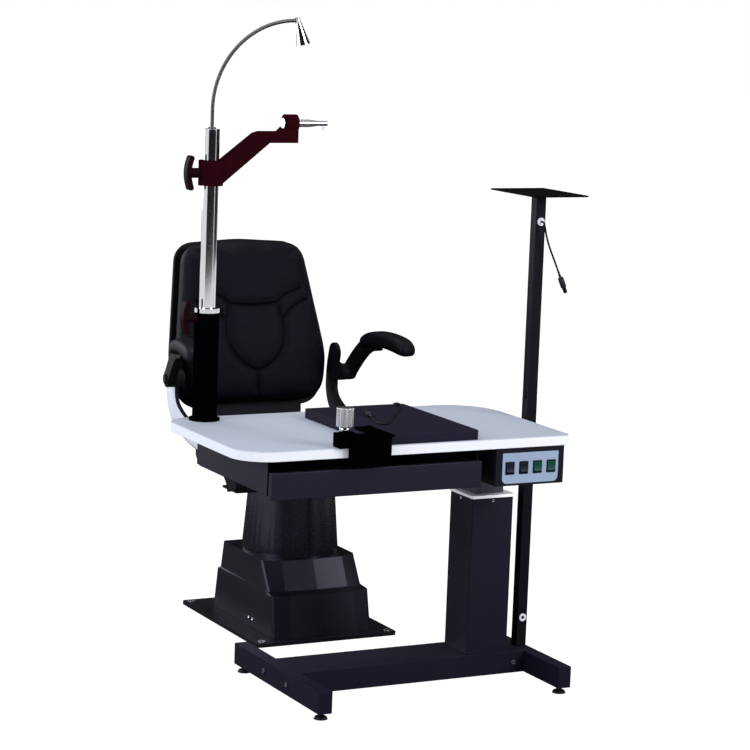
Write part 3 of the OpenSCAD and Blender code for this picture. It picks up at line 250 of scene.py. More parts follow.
def board_of(name, outline, low, high, edge, steps=3):
    """A flat board whose upper and lower edges are rounded."""
    quarter = [math.pi / 2 * k / steps for k in range(steps + 1)]
    levels = [(edge - edge * math.sin(a), low + edge - edge * math.cos(a)) for a in quarter]
    levels += [(edge - edge * math.cos(a), high - edge + edge * math.sin(a)) for a in quarter]
    rings = [[(p.x, p.y, z) for p in moved_in(outline, depth)] for depth, z in levels]
    return flat_faces(lofted(name, rings))


sharp_from = math.radians(32)


def eased(node, radius):
    """A copy of a node's solid with its edges rounded."""
    mesh = nodes[node].data.copy()
    work = bmesh.new()
    work.from_mesh(mesh)
    bmesh.ops.remove_doubles(work, verts=work.verts, dist=1e-6)
    flat = math.radians(0.5)
    bmesh.ops.dissolve_limit(work, angle_limit=flat, verts=work.verts, edges=work.edges)
    work.to_mesh(mesh)
    work.free()
    mesh.shade_smooth()
    piece = object_of(node + "_eased", mesh)
    bevel = piece.modifiers.new("edges", "BEVEL")
    bevel.width = radius
    bevel.segments = 2
    bevel.limit_method = "ANGLE"
    bevel.angle_limit = sharp_from
    return flat_faces(piece)


# %% [markdown]
# ## Writing materials
#
# A material is a sum of small recipes: a colour with clouds in it, a roughness that varies, a fine relief.
# A Wire is one output of a node, and its operators add Math nodes, so that a recipe reads as a formula.
# Every other node comes from one method that takes the node's kind, its settings and its values.

# %% Helpers for materials
class Wire:
    """One output in a node tree. Sums and products of wires add Math nodes."""

    def __init__(self, sheet, socket):
        self.sheet = sheet
        self.socket = socket

    def maths(self, operation, first, second):
        return self.sheet.node("ShaderNodeMath", {"operation": operation}, {0: first, 1: second})["Value"]

    def __add__(self, other):
        return self.maths("ADD", self, other)

    def __sub__(self, other):
        return self.maths("SUBTRACT", self, other)

    def __rsub__(self, other):
        return self.maths("SUBTRACT", other, self)

    def __mul__(self, other):
        return self.maths("MULTIPLY", self, other)

    __radd__ = __add__
    __rmul__ = __mul__


class NodeSheet:
    """A node tree that is written from the top."""

    def __init__(self, tree):
        self.tree = tree
        tree.nodes.clear()

    def node(self, kind, settings=None, values=None):
        """Adds a node and returns its outputs as wires, by name and by identifier."""
        made = self.tree.nodes.new(kind)
        for name, value in (settings or {}).items():
            setattr(made, name, value)
        for place, value in (values or {}).items():
            self.feed(self.socket(made, place), value)
        wires = {s.name: Wire(self, s) for s in made.outputs}
        wires.update({s.identifier: Wire(self, s) for s in made.outputs})
        return wires

    def socket(self, made, place):
        if isinstance(place, int):
            return made.inputs[place]
        return next(s for s in made.inputs if place in (s.identifier, s.name))

    def close(self, kind, place, wire):
        """Ends the tree with an output node."""
        end = self.tree.nodes.new(kind)
        self.tree.links.new(wire.socket, end.inputs[place])

    def feed(self, place, value):
        if isinstance(value, Wire):
            self.tree.links.new(value.socket, place)
        elif hasattr(value, "__len__") and len(value) < len(place.default_value):
            place.default_value = (*value, 1)
        else:
            place.default_value = value

    def blend(self, first, second, share):
        """A colour between two colours."""
        values = {"Factor_Float": share, "A_Color": first, "B_Color": second}
        return self.node("ShaderNodeMix", {"data_type": "RGBA"}, values)["Result_Color"]

    def step(self, value, low, high):
        """0 below low, 1 above high and smooth between them."""
        values = {"Value": value, "From Min": low, "From Max": high}
        settings = {"interpolation_type": "SMOOTHSTEP"}
        return self.node("ShaderNodeMapRange", settings, values)["Result"]


finishes = {}


class Finish(NodeSheet):
    """One finish: a Principled shader, its colour as ink takes it, and what varies on it."""

    def __init__(self, slot, colour, roughness, **constants):
        material = bpy.data.materials.new(slot)
        material.use_nodes = True
        super().__init__(material.node_tree)
        finishes[slot] = material
        self.colour = ink(*colour)
        self.roughness = roughness
        self.shader = self.tree.nodes.new("ShaderNodeBsdfPrincipled")
        self.close("ShaderNodeOutputMaterial", "Surface", Wire(self, self.shader.outputs["BSDF"]))
        self.set("Base Color", self.colour)
        self.set("Roughness", roughness)
        for name, value in constants.items():
            self.set(name.replace("_", " "), value)
        self.spot = self.node("ShaderNodeTexCoord")["Object"]

    def set(self, name, value):
        self.feed(self.shader.inputs[name], value)

    def clouds(self, scale, detail=2.0, stretch=(1, 1, 1)):
        """Soft noise from 0 to 1, with about scale blots in a metre."""
        place = self.node("ShaderNodeMapping", values={"Vector": self.spot, "Scale": stretch})["Vector"]
        values = {"Vector": place, "Scale": scale, "Detail": detail}
        return self.node("ShaderNodeTexNoise", values=values)["Fac"]

    def varied(self, share, mask):
        """The colour, darker where the mask is 0 and lighter where it is 1."""
        dark = tuple(c * (1 - share) for c in self.colour)
        light = tuple(c * (1 + share) for c in self.colour)
        return self.blend(dark, light, mask)

    def vary_colour(self, share, mask):
        self.set("Base Color", self.varied(share, mask))

    def vary_roughness(self, spread, mask):
        self.set("Roughness", self.roughness + spread * (mask - 0.5))

    def relief(self, height, depth):
        """A relief of that depth in metres at height 1."""
        values = {"Height": height, "Distance": depth, "Strength": 1.0}
        self.set("Normal", self.node("ShaderNodeBump", values=values)["Normal"])


def ink(red, green, blue):
    """A colour as a screen shows it, from 0 to 255, in the linear values that a shader takes."""
    shares = [value / 255 for value in (red, green, blue)]
    return tuple(s / 12.92 if s <= 0.04045 else ((s + 0.055) / 1.055) ** 2.4 for s in shares)


print("mid grey is", [round(value, 3) for value in ink(128, 128, 128)])

# %% [markdown]
# ## Paint on steel
#
# The floor plate, the rails, the beam, the column and the drawer's housing are sheet steel and tube with a
# powder coat, sprayed dry and baked. Up close such a coat has an orange-peel relief of a few hundredths of
# a millimetre, at about one bump a millimetre. It is nearly black, with blue in it on the table, and its
# gloss is a little cool. The instrument arm's enamel shows wine red in the light.

# %% Powder coats
cool = (0.72, 0.76, 1.0)


def powder_coat(slot, colour, roughness, specular, peel=0.00004):
    coat = Finish(slot, colour, roughness, Specular_IOR_Level=specular, Specular_Tint=cool)
    coat.vary_colour(0.12, coat.clouds(9, 3))
    coat.vary_roughness(0.1, coat.clouds(60, 3))
    coat.relief(coat.clouds(850, 1) + 0.5 * coat.clouds(2100, 1), peel)


powder_coat("dark_steel", (20, 19, 24), 0.5, 0.12)
powder_coat("navy_steel", (12, 13, 28), 0.46, 0.32)
powder_coat("black_powder_steel", (13, 12, 17), 0.5, 0.08)
powder_coat("plain_steel", (60, 60, 68), 0.42, 0.4)
powder_coat("motor_casing", (48, 48, 54), 0.5, 0.4)
powder_coat("matt_black_metal", (2, 2, 3), 0.65, 0.0, 0.00003)
powder_coat("arm_enamel", (34, 6, 12), 0.65, 0.0, 0.00003)
print("powder coats:", ", ".join(finishes))

# %% [markdown]
# ## Plastics
#
# The covers of the chair's foot are formed from a sheet of glossy plastic, so they carry long soft waves
# and hardly any grain, and the cone above them is glossier still. The armrests, the back's shell and the
# knobs are moulded with a fine spark-eroded texture. The grommets are plain satin plastic, and the white
# cap is the same plastic painted whiter, as painted light on its shaded top; the switches are a little
# glossier.

# %% Plastics
def moulded(slot, colour, roughness, specular, grain=0.00003, waves=0.0):
    plastic = Finish(slot, colour, roughness, Specular_IOR_Level=specular, Specular_Tint=cool)
    plastic.vary_colour(0.08, plastic.clouds(14, 2))
    plastic.vary_roughness(0.08, plastic.clouds(90, 3))
    fine = plastic.clouds(1500, 1)
    if waves:
        plastic.relief(fine * (grain / waves) + plastic.clouds(11, 1), waves)
    else:
        plastic.relief(fine, grain)


moulded("glossy_cover", (9, 9, 17), 0.4, 0.36, 0.00001, waves=0.0012)
moulded("cone_gloss", (7, 7, 14), 0.27, 0.75, 0.00001, waves=0.0006)
moulded("foot_plastic", (14, 14, 16), 0.5, 0.12)
moulded("white_plastic", (196, 198, 208), 0.4, 0.3)
# The cap's white is raised above the other white plastic as painted light on its top, which the housing above
# shades.
moulded("cap_white", (240, 241, 246), 0.4, 0.3)
moulded("black_tray", (4, 4, 4), 0.6, 0.02)
moulded("lead_jacket", (9, 9, 12), 0.45, 0.1, 0.00001)
moulded("plug_plastic", (22, 22, 27), 0.45, 0.2)
moulded("moulded_black", (8, 8, 10), 0.5, 0.08, 0.00006)
moulded("arm_pad_black", (8, 7, 11), 0.5, 0.08, 0.00006)
moulded("box_black", (17, 17, 23), 0.5, 0.12)
moulded("panel_blue_grey", (127, 142, 165), 0.5, 0.2)
moulded("rocker_black", (10, 14, 24), 0.34, 0.15)
moulded("rocker_green", (2, 54, 40), 0.34, 0.15)
moulded("knob_black", (22, 4, 7), 0.5, 0.02)
moulded("board_black", (28, 27, 39), 0.5, 0.02, 0.00005)
print(len(finishes), "finishes so far")

# %% [markdown]
# ## Bright metal
#
# The mast, the collar and the lamp's head are chromed. Chrome has no colour of its own: what shows is the
# white studio and its dark cards. Fine smears in the roughness keep it from looking like a mirror. The
# clamp's knob is satin, the pin is brushed steel, the neck is a duller steel hose and the lift's tube is
# ground bright.

# %% Metals
def bright_metal(slot, colour, roughness, smear, stretch=(1, 1, 1)):
    metal = Finish(slot, colour, roughness, Metallic=1.0)
    metal.vary_colour(0.03, metal.clouds(20, 3))
    metal.vary_roughness(smear, metal.clouds(55, 4, stretch))
    metal.relief(metal.clouds(600, 2, stretch), 0.000006)


bright_metal("mast_chrome", (205, 206, 211), 0.08, 0.04, (1, 1, 0.15))
bright_metal("neck_steel", (92, 91, 96), 0.32, 0.1)
bright_metal("satin_knob", (203, 203, 209), 0.26, 0.08, (1, 1, 0.3))
bright_metal("pin_steel", (158, 158, 165), 0.2, 0.08, (0.2, 1, 1))
bright_metal("ground_steel", (196, 197, 200), 0.22, 0.1, (0.2, 0.2, 4))
bright_metal("bright_screws", (214, 214, 218), 0.24, 0.1)
print(len(finishes), "finishes with the metals")

# %% [markdown]
# ## Laminate, glass and leather
#
# The table top is a pale grey laminate with a faint crackle of lighter specks, and its edge band is painted
# lighter than the top, as painted light on the sides. The lamp has a frosted lens. The upholstery is a black
# coated leather: a cell pattern of fine creases over broader folds, with painted shade along the seams and in
# the creases and painted light on the cells, in random patches.

# %% Laminate
laminate = Finish("white_laminate", (168, 174, 188), 0.42, Specular_IOR_Level=0.3)
fleck = laminate.step(laminate.clouds(420, 2), 0.55, 0.72)
drift = laminate.clouds(4, 2)
face_colour = laminate.varied(0.05, 0.6 * drift + 0.4 * fleck)
# The edge band below band_top is painted lighter than the top face, as painted light on the sides.
lit_band_colour = ink(205, 207, 214)
band_top = 677.4 * mm
face_from = 678.4 * mm
height = laminate.node("ShaderNodeSeparateXYZ", values={"Vector": laminate.spot})["Z"]
on_lit_band = 1 - laminate.step(height, band_top, face_from)
laminate.set("Base Color", laminate.blend(face_colour, lit_band_colour, on_lit_band))
laminate.vary_roughness(0.08, laminate.clouds(30, 3))
laminate.relief(laminate.clouds(1100, 2), 0.00002)

glass = Finish("lens_glass", (236, 236, 228), 0.35, Specular_IOR_Level=0.5)
glass.set("Transmission Weight", 0.4)
glass.vary_colour(0.05, glass.clouds(200, 2))
glass.relief(glass.clouds(900, 1), 0.00003)

# %% Leather
def leather(slot, colour, roughness, specular):
    hide = Finish(slot, colour, roughness, Specular_IOR_Level=specular, Specular_Tint=cool)
    cells = {"feature": "DISTANCE_TO_EDGE"}
    warped = hide.node("ShaderNodeTexNoise", values={"Vector": hide.spot, "Scale": 160.0, "Detail": 2.0})
    shift = hide.node("ShaderNodeMix", {"data_type": "VECTOR"},
                      {"Factor_Float": 0.012, "A_Vector": hide.spot, "B_Vector": warped["Color"]})
    places = shift["Result_Vector"]
    grain = hide.node("ShaderNodeTexVoronoi", cells, {"Vector": places, "Scale": 420.0})["Distance"]
    crease = hide.step(grain, 0.0, 0.16)
    seam = hide.node("ShaderNodeAttribute", {"attribute_name": "seam"})["Fac"]
    # Painted shade and light: the colour is darker along the seams and in the grain's creases, and lighter on
    # the cells, in random patches.
    seam_shade, creased_shade, lit = (tuple(c * share for c in hide.colour) for share in (0.35, 0.8, 1.25))
    toned = hide.blend(creased_shade, lit, crease * hide.clouds(35, 3))
    hide.set("Base Color", hide.blend(toned, seam_shade, seam))
    hide.vary_roughness(0.12, hide.clouds(70, 3))
    folds = hide.clouds(48, 3, (1, 1, 0.55))
    hide.relief(crease * 0.12 + folds, 0.0009)


leather("black_leather", (7, 6, 13), 0.48, 0.07)
missing = sorted(set(slot_of.values()) - set(finishes))
print(len(finishes), "finishes, missing:", missing)

# %% [markdown]
# ## Giving a piece to the frame
#
# A finished piece takes its finish from a slot of the record, rides on the body that its solid rides on
# and stands for that solid, which then only serves the physics.

# %% Helper that fits a piece
def fit(piece, *stood_for, body=None, slot=None, finish=None):
    slot = slot or slot_of[stood_for[0]]
    piece.data.materials.clear()
    piece.data.materials.append(finishes[finish or slot])
    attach(piece, body or body_of[stood_for[0]])
    if stood_for:
        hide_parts(*stood_for)
    return piece


# %% [markdown]
# ## The leads
#
# Two thin leads show. One hangs from the upper grommet of the post and ends in a plug, the other leaves a
# gland at the board's rear corner, runs across the board and turns back beside its own plug. Their routes
# repeat the model's, and a poly curve with a round bevel is the natural form: its line is the lead's
# centre, so its length can be measured.

# %% Leads
lead_diameter = 4 * mm
pigtail_diameter = 5 * mm
pigtail_route = [(337, -717, 1189), (337, -725, 1189), (337, -732, 1185), (338, -736, 1174),
                 (341, -738, 1157), (348, -738, 1136), (358, -738, 1113), (371, -738, 1086),
                 (382, -738, 1062)]
lying = 706.5
board_lead_route = [(10, -591, 708), (10, -600, 707.5), (4, -614, 707)]
board_lead_route += [(x, y, lying) for x, y in (
    (-8, -636), (-26, -664), (-46, -692), (-68, -722), (-90, -752), (-112, -784), (-128, -808),
    (-140, -823), (-151, -828), (-158, -820), (-158, -803), (-154, -780))]
board_lead_route += [(-148, -757, 707), (-142, -736, 708.5)]


def curve_of(name, lines, radius=0.0):
    """A curve object of straight spans through each line's points."""
    curve = bpy.data.curves.new(name, "CURVE")
    curve.dimensions = "3D"
    curve.bevel_depth = radius
    curve.bevel_resolution = 4
    curve.use_fill_caps = radius > 0
    for line in lines:
        spline = curve.splines.new("POLY")
        spline.points.add(len(line) - 1)
        for point, place in zip(spline.points, line):
            point.co = (*place, 1)
    return object_of(name, curve)


def length_of(line):
    return sum((b - a).length for a, b in zip(line, line[1:]))


def lead_plug(name, start, along, radius, length, tip_share):
    """A moulded plug: a ribbed sleeve, a body and a narrower tip."""
    sleeve = 0.28 * length
    profile = [(0, 0), (lead_diameter * 0.7, 0)]
    for k in range(5):
        z = sleeve * (k + 0.5) / 5
        profile.append((lead_diameter * (0.72 + 0.06 * k), z))
        profile.append((lead_diameter * (0.6 + 0.06 * k), z + 0.1 * sleeve))
    profile += [(radius, sleeve + mm), (radius, length * 0.72), (radius * 0.86, length * 0.75),
                (radius * tip_share, length * 0.75), (radius * tip_share, length - 0.5 * mm),
                (radius * tip_share * 0.7, length), (0, length)]
    return turned(name, profile, start, along, 24)


pigtail_line = smooth([Vector(p) * mm for p in pigtail_route], 5)
pigtail_end = pigtail_line[-1] - pigtail_line[-2]
pigtail = fit(curve_of("pigtail_cord", [pigtail_line], pigtail_diameter / 2), "pigtail_lead")
pigtail_fitting = fit(lead_plug("pigtail_fitting", pigtail_line[-1], pigtail_end, 7.5 * mm, 60 * mm, 0.7),
                      "pigtail_plug")
length_of(pigtail_line)

board_line = smooth([Vector(p) * mm for p in board_lead_route], 5)
board_end = board_line[-1] - board_line[-2]
board_end.z = 0
board_plug_radius = 6 * mm
plug_start = Vector((board_line[-1].x, board_line[-1].y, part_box("board_plug")[0].z + board_plug_radius))
board_cord = fit(curve_of("board_cord", [board_line], lead_diameter / 2), "board_lead")
board_fitting = fit(lead_plug("board_fitting", plug_start, board_end, board_plug_radius, 62 * mm, 0.6),
                    "board_plug")
length_of(board_line)
print("leads:", round(length_of(pigtail_line), 3), "m and", round(length_of(board_line), 3), "m")

# %% [markdown]
# ## The cushions
#
# Both cushions are foam under a sewn cover of coated leather. Where two panels of the cover meet, the
# thread draws them into the foam, and the foam pushes back, so each panel is a little pillow. Cloth with a
# pressure inside does the same: the rear face and the seams are held, the rest swells. The even mesh that
# it needs is coarser than a seam, so the seams themselves are drawn in afterwards, each at its real width.
# The back has a panel that narrows to a tuft low on the centre line, with two seams that fan out on each
# side. The seat has one long seam near each side.

# %% Helpers for cushions
import numpy as np

even_size = 5.5 * mm
cloth_steps = 20
swell = 7 * mm
smoothings = 4
seam_draw = 3 * mm
pad_crown = [max(0.94 - 0.07 * k, 0.04) for k in range(14)]
pad_rings = [(0.04, 0), (0.3, 0), (0.62, 0), (0.93, 0), (0.985, 0.1), (1, 0.28), (0.995, 0.5), (0.97, 0.66)]
pad_rings += [(share, 1 - 0.27 * share ** 3) for share in pad_crown]


def evened(line, step, closed=False):
    """The line with points at even steps."""
    line = line + [line[0]] if closed else line
    runs = np.cumsum([0] + [(b - a).length for a, b in zip(line, line[1:])])
    count = max(2, round(runs[-1] / step))
    wanted = np.linspace(0, runs[-1], count + 1)[:count if closed else count + 1]
    places = [np.interp(wanted, runs, [p[axis] for p in line]) for axis in range(len(line[0]))]
    return [Vector(p) for p in zip(*places)]


def cushion_form(name, outline, thick, place, shrink):
    """A crowned closed form over an outline. place turns it into the model's frame."""
    edge = evened(outline, 8 * mm, closed=True)
    centre = sum(edge, Vector((0, 0))) / len(edge)
    rings = []
    for share, height in pad_rings:
        flat = [centre + (p - centre) * share * shrink for p in edge]
        rings.append([place @ Vector((p.x, p.y, height * thick * shrink)) for p in flat])
    return lofted(name, rings)


def gaps_to(points, lines):
    """Distance of each flat point to the nearest of the lines."""
    nearest = np.full(len(points), 1.0)
    for line in lines:
        for a, b in zip(line, line[1:]):
            start = np.array(a)
            span = np.array(b) - start
            along = np.clip((points - start) @ span / (span @ span), 0, 1)
            nearest = np.minimum(nearest, np.linalg.norm(points - start - along[:, None] * span, axis=1))
    return nearest


def local_points(piece, place):
    """The piece's points in the cushion's own frame."""
    points = np.array([v.co for v in piece.data.vertices])
    back = np.array(place.inverted())
    return points @ back[:3, :3].T + back[:3, 3]


def rise(values, low, high):
    """0 below low, 1 above high and smooth between them."""
    share = np.clip((values - low) / (high - low), 0, 1)
    return share * share * (3 - 2 * share)


def inflated(piece, place, thick, lines):
    """Blows the cover up between its seams, and lets nothing move by more than swell."""
    remesh = piece.modifiers.new("even mesh", "REMESH")
    remesh.mode = "VOXEL"
    remesh.voxel_size = even_size
    settle(piece)
    spots = local_points(piece, place)
    rest = [v.co.copy() for v in piece.data.vertices]
    front = rise(spots[:, 2], 0.3 * thick, 0.55 * thick)
    held = np.maximum(1 - front, np.exp(-(gaps_to(spots[:, :2], lines) / (9 * mm)) ** 2))
    group = piece.vertex_groups.new(name="held")
    for i, share in enumerate(held):
        group.add([i], float(share), "REPLACE")
    cloth = piece.modifiers.new("cover", "CLOTH").settings
    cloth.quality = 4
    cloth.mass = 0.3
    cloth.bending_stiffness = 2
    cloth.use_pressure = True
    cloth.uniform_pressure_force = 4
    cloth.vertex_group_mass = "held"
    cloth.effector_weights.gravity = 0
    for step in range(1, cloth_steps + 1):
        scene.frame_set(step)
    settle(piece)
    scene.frame_set(1)
    for vertex, start in zip(piece.data.vertices, rest):
        shift = vertex.co - start
        vertex.co = start + shift * min(1, swell / max(shift.length, 1e-9))
    finer = piece.modifiers.new("finer", "SUBSURF")
    finer.levels = 1
    finer.render_levels = 1
    settle(piece)


def evened_out(piece):
    """Takes the steps of the even mesh out of the surface."""
    work = bmesh.new()
    work.from_mesh(piece.data)
    for _ in range(smoothings):
        bmesh.ops.smooth_vert(work, verts=work.verts, factor=0.5,
                              use_axis_x=True, use_axis_y=True, use_axis_z=True)
    work.to_mesh(piece.data)
    work.free()


def sewn(piece, place, thick, lines, depth):
    """Draws the cover in along its seams, and marks them for the painted seam shade in the leather."""
    spots = local_points(piece, place)
    gap = gaps_to(spots[:, :2], lines)
    front = rise(spots[:, 2], 0.5 * thick, 0.64 * thick)
    narrow = np.exp(-(gap / (3.4 * mm)) ** 2)
    broad = np.exp(-(gap / (15 * mm)) ** 2)
    spots[:, 2] -= front * (depth * narrow + seam_draw * broad)
    turn = np.array(place)
    piece.data.vertices.foreach_set("co", (spots @ turn[:3, :3].T + turn[:3, 3]).ravel())
    seam_shade_mark = piece.data.attributes.new("seam", "FLOAT", "POINT")
    seam_shade_mark.data.foreach_set("value", front * narrow)
    piece.data.shade_smooth()


def cushion(name, outline, thick, place, seams, shrink, depth):
    """A whole cushion, with seams of that depth."""
    piece = cushion_form(name + "_cover", outline, thick, place, shrink)
    inflated(piece, place, thick, seams)
    evened_out(piece)
    sewn(piece, place, thick, seams, depth)
    return fit(piece, name + "_cushion")


def laid_on(piece, place, line):
    """A flat line dropped on the front of a cushion."""
    work = bmesh.new()
    work.from_mesh(piece.data)
    surface = BVHTree.FromBMesh(work)
    work.free()
    down = -(place.to_3x3() @ Vector((0, 0, 1)))
    found = []
    for p in line:
        hit = surface.ray_cast(place @ Vector((p.x, p.y, 0.3)), down)[0]
        if hit:
            found.append(hit)
    return found


print("a form has", len(pad_rings), "rings")

# %% [markdown]
# ## Rows of small things
#
# Stitches, the coils of the lamp's hose and bolt heads are many copies of one small shape. A tree of
# geometry nodes strings beads along a line at an even spacing, and a second one sets heads on points, each
# turned along an axis that the point carries.

# %% Geometry node trees
def geometry_sheet(name, inputs):
    """A tree with named inputs. Gives its sheet and the wires of its inputs."""
    tree = bpy.data.node_groups.new(name, "GeometryNodeTree")
    tree.interface.new_socket("Geometry", in_out="OUTPUT", socket_type="NodeSocketGeometry")
    tree.interface.new_socket("Geometry", in_out="INPUT", socket_type="NodeSocketGeometry")
    for label, kind in inputs.items():
        tree.interface.new_socket(label, in_out="INPUT", socket_type="NodeSocket" + kind)
    sheet = NodeSheet(tree)
    return sheet, sheet.node("NodeGroupInput")


def placed_copies(sheet, points, shape, rotation, scale, material):
    """Ends a tree: copies of the shape on the points, made real, smooth and of the material."""
    values = {"Points": points, "Instance": shape, "Rotation": rotation, "Scale": scale}
    copies = sheet.node("GeometryNodeInstanceOnPoints", values=values)["Instances"]
    real = sheet.node("GeometryNodeRealizeInstances", values={"Geometry": copies})["Geometry"]
    values = {"Geometry": real, "Shade Smooth": True}
    soft = sheet.node("GeometryNodeSetShadeSmooth", values=values)["Geometry"]
    values = {"Geometry": soft, "Material": material}
    coated = sheet.node("GeometryNodeSetMaterial", values=values)["Geometry"]
    sheet.close("NodeGroupOutput", "Geometry", coated)


beads, given = geometry_sheet("beads", {"Spacing": "Float", "Size": "Vector", "Material": "Material"})
curve = beads.node("GeometryNodeMeshToCurve", values={"Mesh": given["Geometry"]})["Curve"]
spread = beads.node("GeometryNodeCurveToPoints", {"mode": "LENGTH"},
                    {"Curve": curve, "Length": given["Spacing"]})
bead_sides = 12
bead_rows = 6
values = {"Segments": bead_sides, "Rings": bead_rows, "Radius": 1.0}
bead = beads.node("GeometryNodeMeshUVSphere", values=values)["Mesh"]
placed_copies(beads, spread["Points"], bead, spread["Rotation"], given["Size"], given["Material"])

heads, given = geometry_sheet("heads", {"Head": "Object", "Material": "Material"})
head = heads.node("GeometryNodeObjectInfo", values={"Object": given["Head"]})["Geometry"]
axis = heads.node("GeometryNodeInputNamedAttribute", {"data_type": "FLOAT_VECTOR"}, {"Name": "axis"})
facing = heads.node("FunctionNodeAlignRotationToVector", {"axis": "Z"}, {"Vector": axis["Attribute"]})
size = heads.node("GeometryNodeInputNamedAttribute", {"data_type": "FLOAT"}, {"Name": "size"})
placed_copies(heads, given["Geometry"], head, facing["Rotation"], size["Attribute"], given["Material"])


def grown(name, source, sheet, values):
    """What the tree makes from the source, as a plain mesh."""
    modifier = source.modifiers.new(sheet.tree.name, "NODES")
    modifier.node_group = sheet.tree
    for item in sheet.tree.interface.items_tree:
        if item.in_out == "INPUT" and item.name in values:
            modifier[item.identifier] = values[item.name]
    settle(source)
    source.name = name
    return source


def string_of(name, lines, spacing, size, finish):
    """Beads along the lines. size is half the width, half the height and half the length of a bead."""
    mesh = bpy.data.meshes.new(name)
    points = []
    edges = []
    for line in lines:
        edges += [(len(points) + k, len(points) + k + 1) for k in range(len(line) - 1)]
        points += [tuple(p) for p in line]
    mesh.from_pydata(points, edges, [])
    source = object_of(name, mesh)
    return grown(name, source, beads, {"Spacing": spacing, "Size": size, "Material": finishes[finish]})


print("trees:", beads.tree.name, heads.tree.name)

# %% Backrest cushion
# The backrest leans back by 16 degrees. Its sizes are half widths and lengths in millimetres.
back_low, back_wide, back_high, back_length, back_arch = 212, 240, 189, 470, 12
back_place = Matrix(((1, 0, 0, 0), (0, 0.2756, -0.9613, 0.286), (0, 0.9613, 0.2756, 0.563), (0, 0, 0, 1)))
back_corners = [(back_low, 0), (back_wide, 0.27 * back_length), (back_high, back_length),
                (0, back_length + back_arch), (-back_high, back_length), (-back_wide, 0.27 * back_length),
                (-back_low, 0)]
back_radii = [70, 235, 62, 470, 62, 235, 70]
back_outline = rounded([Vector(p) * mm for p in back_corners], [r * mm for r in back_radii], steps=10)
back_thick = 88 * mm


def on_back(points):
    """A smooth seam through points given in millimetres across and up the backrest."""
    return evened(smooth([Vector(p) * mm for p in points], 8), 5 * mm)


panel_top = [(-76, 283), (-40, 279), (0, 277), (40, 279), (76, 283)]
panel_side = [(76, 283), (85, 245), (90, 205), (84, 163), (62, 128), (32, 103), (0, 88)]
tail = [(0, 88), (-3, 55), (0, 20)]
fans = [(76, 283), (100, 303), (150, 322)], [(88, 235), (125, 268), (172, 292)]
back_seams = [on_back(panel_top), on_back(tail)]
for side in (-1, 1):
    back_seams += [on_back([(side * x, y) for x, y in seam]) for seam in (panel_side, *fans)]

back = cushion("back", back_outline, back_thick, back_place, back_seams, 0.972, 4.5 * mm)
print("backrest cushion:", len(back.data.polygons), "faces,", len(back_seams), "seams")

# %% Seat cushion
seat_place = Matrix.Translation((0, 0, 0.430))
seat_thick = 98 * mm
seat_outline = rounded([Vector(p) * mm for p in rectangle((-235, -250), (235, 210))], [70 * mm] * 4, steps=12)
seat_seams = [evened([Vector((x, y)) * mm for y in (-215, 180)], 5 * mm) for x in (-127, 127)]

seat = cushion("seat", seat_outline, seat_thick, seat_place, seat_seams, 0.975, 4 * mm)
print("seat cushion:", len(seat.data.polygons), "faces")

# %% [markdown]
# The seams are top-stitched: a row of short stitches runs beside each of them, with a stitch every 6 mm.

# %% Stitches
def beside(line, distance):
    """A line moved sideways."""
    found = []
    for i, p in enumerate(line):
        along = (line[min(i + 1, len(line) - 1)] - line[max(i - 1, 0)]).normalized()
        found.append(p + distance * Vector((-along.y, along.x)))
    return found


stitch_size = (0.5 * mm, 0.5 * mm, 2.1 * mm)
stitch_step = 6 * mm
from_seam = 5 * mm
pads = (("back", back, back_place, back_seams), ("seat", seat, seat_place, seat_seams))
for name, pad, place, seams in pads:
    rows = [laid_on(pad, place, beside(line, from_seam)) for line in seams]
    stitches = string_of(name + "_stitches", rows, stitch_step, stitch_size, "black_leather")
    fit(stitches, body=body_of[name + "_cushion"], slot="black_leather")
    print(name, "cushion:", len(stitches.data.polygons) // (bead_sides * bead_rows), "stitches")

# %% [markdown]
# ## Armrests
#
# Each armrest is a curved steel band from the seat pan, a moulded link that tips up on a pivot, and a soft
# moulded pad. The pad is a loft along the line that it follows in the photograph, thick in the middle and
# round at both ends. The outer face of the band carries a pale strip of trim, which only shows from
# outside.

# %% Arm pads
hub = Vector((257, 219, 660)) * mm
arm_place = Matrix.Translation(hub) @ Matrix.Rotation(math.radians(8), 4, "Z")
pad_reach = 290 * mm
pad_middle = 24.3 * mm
pad_sides = 40
pad_line = smooth([Vector(p) for p in (
    (0.25, 0.33, 0.3), (0.262, 0.334, 0.55), (0.29, 0.345, 0.78), (0.36, 0.365, 0.95), (0.46, 0.385, 1),
    (0.57, 0.395, 1), (0.7, 0.393, 1), (0.82, 0.38, 1), (0.9, 0.365, 0.96), (0.955, 0.348, 0.82),
    (0.987, 0.336, 0.6), (1, 0.33, 0.3))], 4)


def arm_pad(name, side):
    """A soft pad: rings with softly squared sides that follow the pad's line."""
    rings = []
    for forward, up_share, size in pad_line:
        half_width = 30 * mm * size ** 0.6
        half_height = 23 * mm * size
        ring = []
        for k in range(pad_sides):
            c = math.cos(2 * math.pi * k / pad_sides)
            s = math.sin(2 * math.pi * k / pad_sides)
            across = pad_middle + half_width * math.copysign(abs(c) ** 0.62, c)
            above = up_share * pad_reach + half_height * math.copysign(abs(s) ** 0.74, s)
            spot = arm_place @ Vector((across, -forward * pad_reach, above))
            ring.append((side * spot.x, spot.y, spot.z))
        rings.append(ring)
    return lofted(name, rings)


for name, side in (("arm_pad_right", -1), ("arm_pad_left", 1)):
    pad = fit(arm_pad(name + "_moulded", side), name)
print("arm pads:", len(pad_line), "rings each")

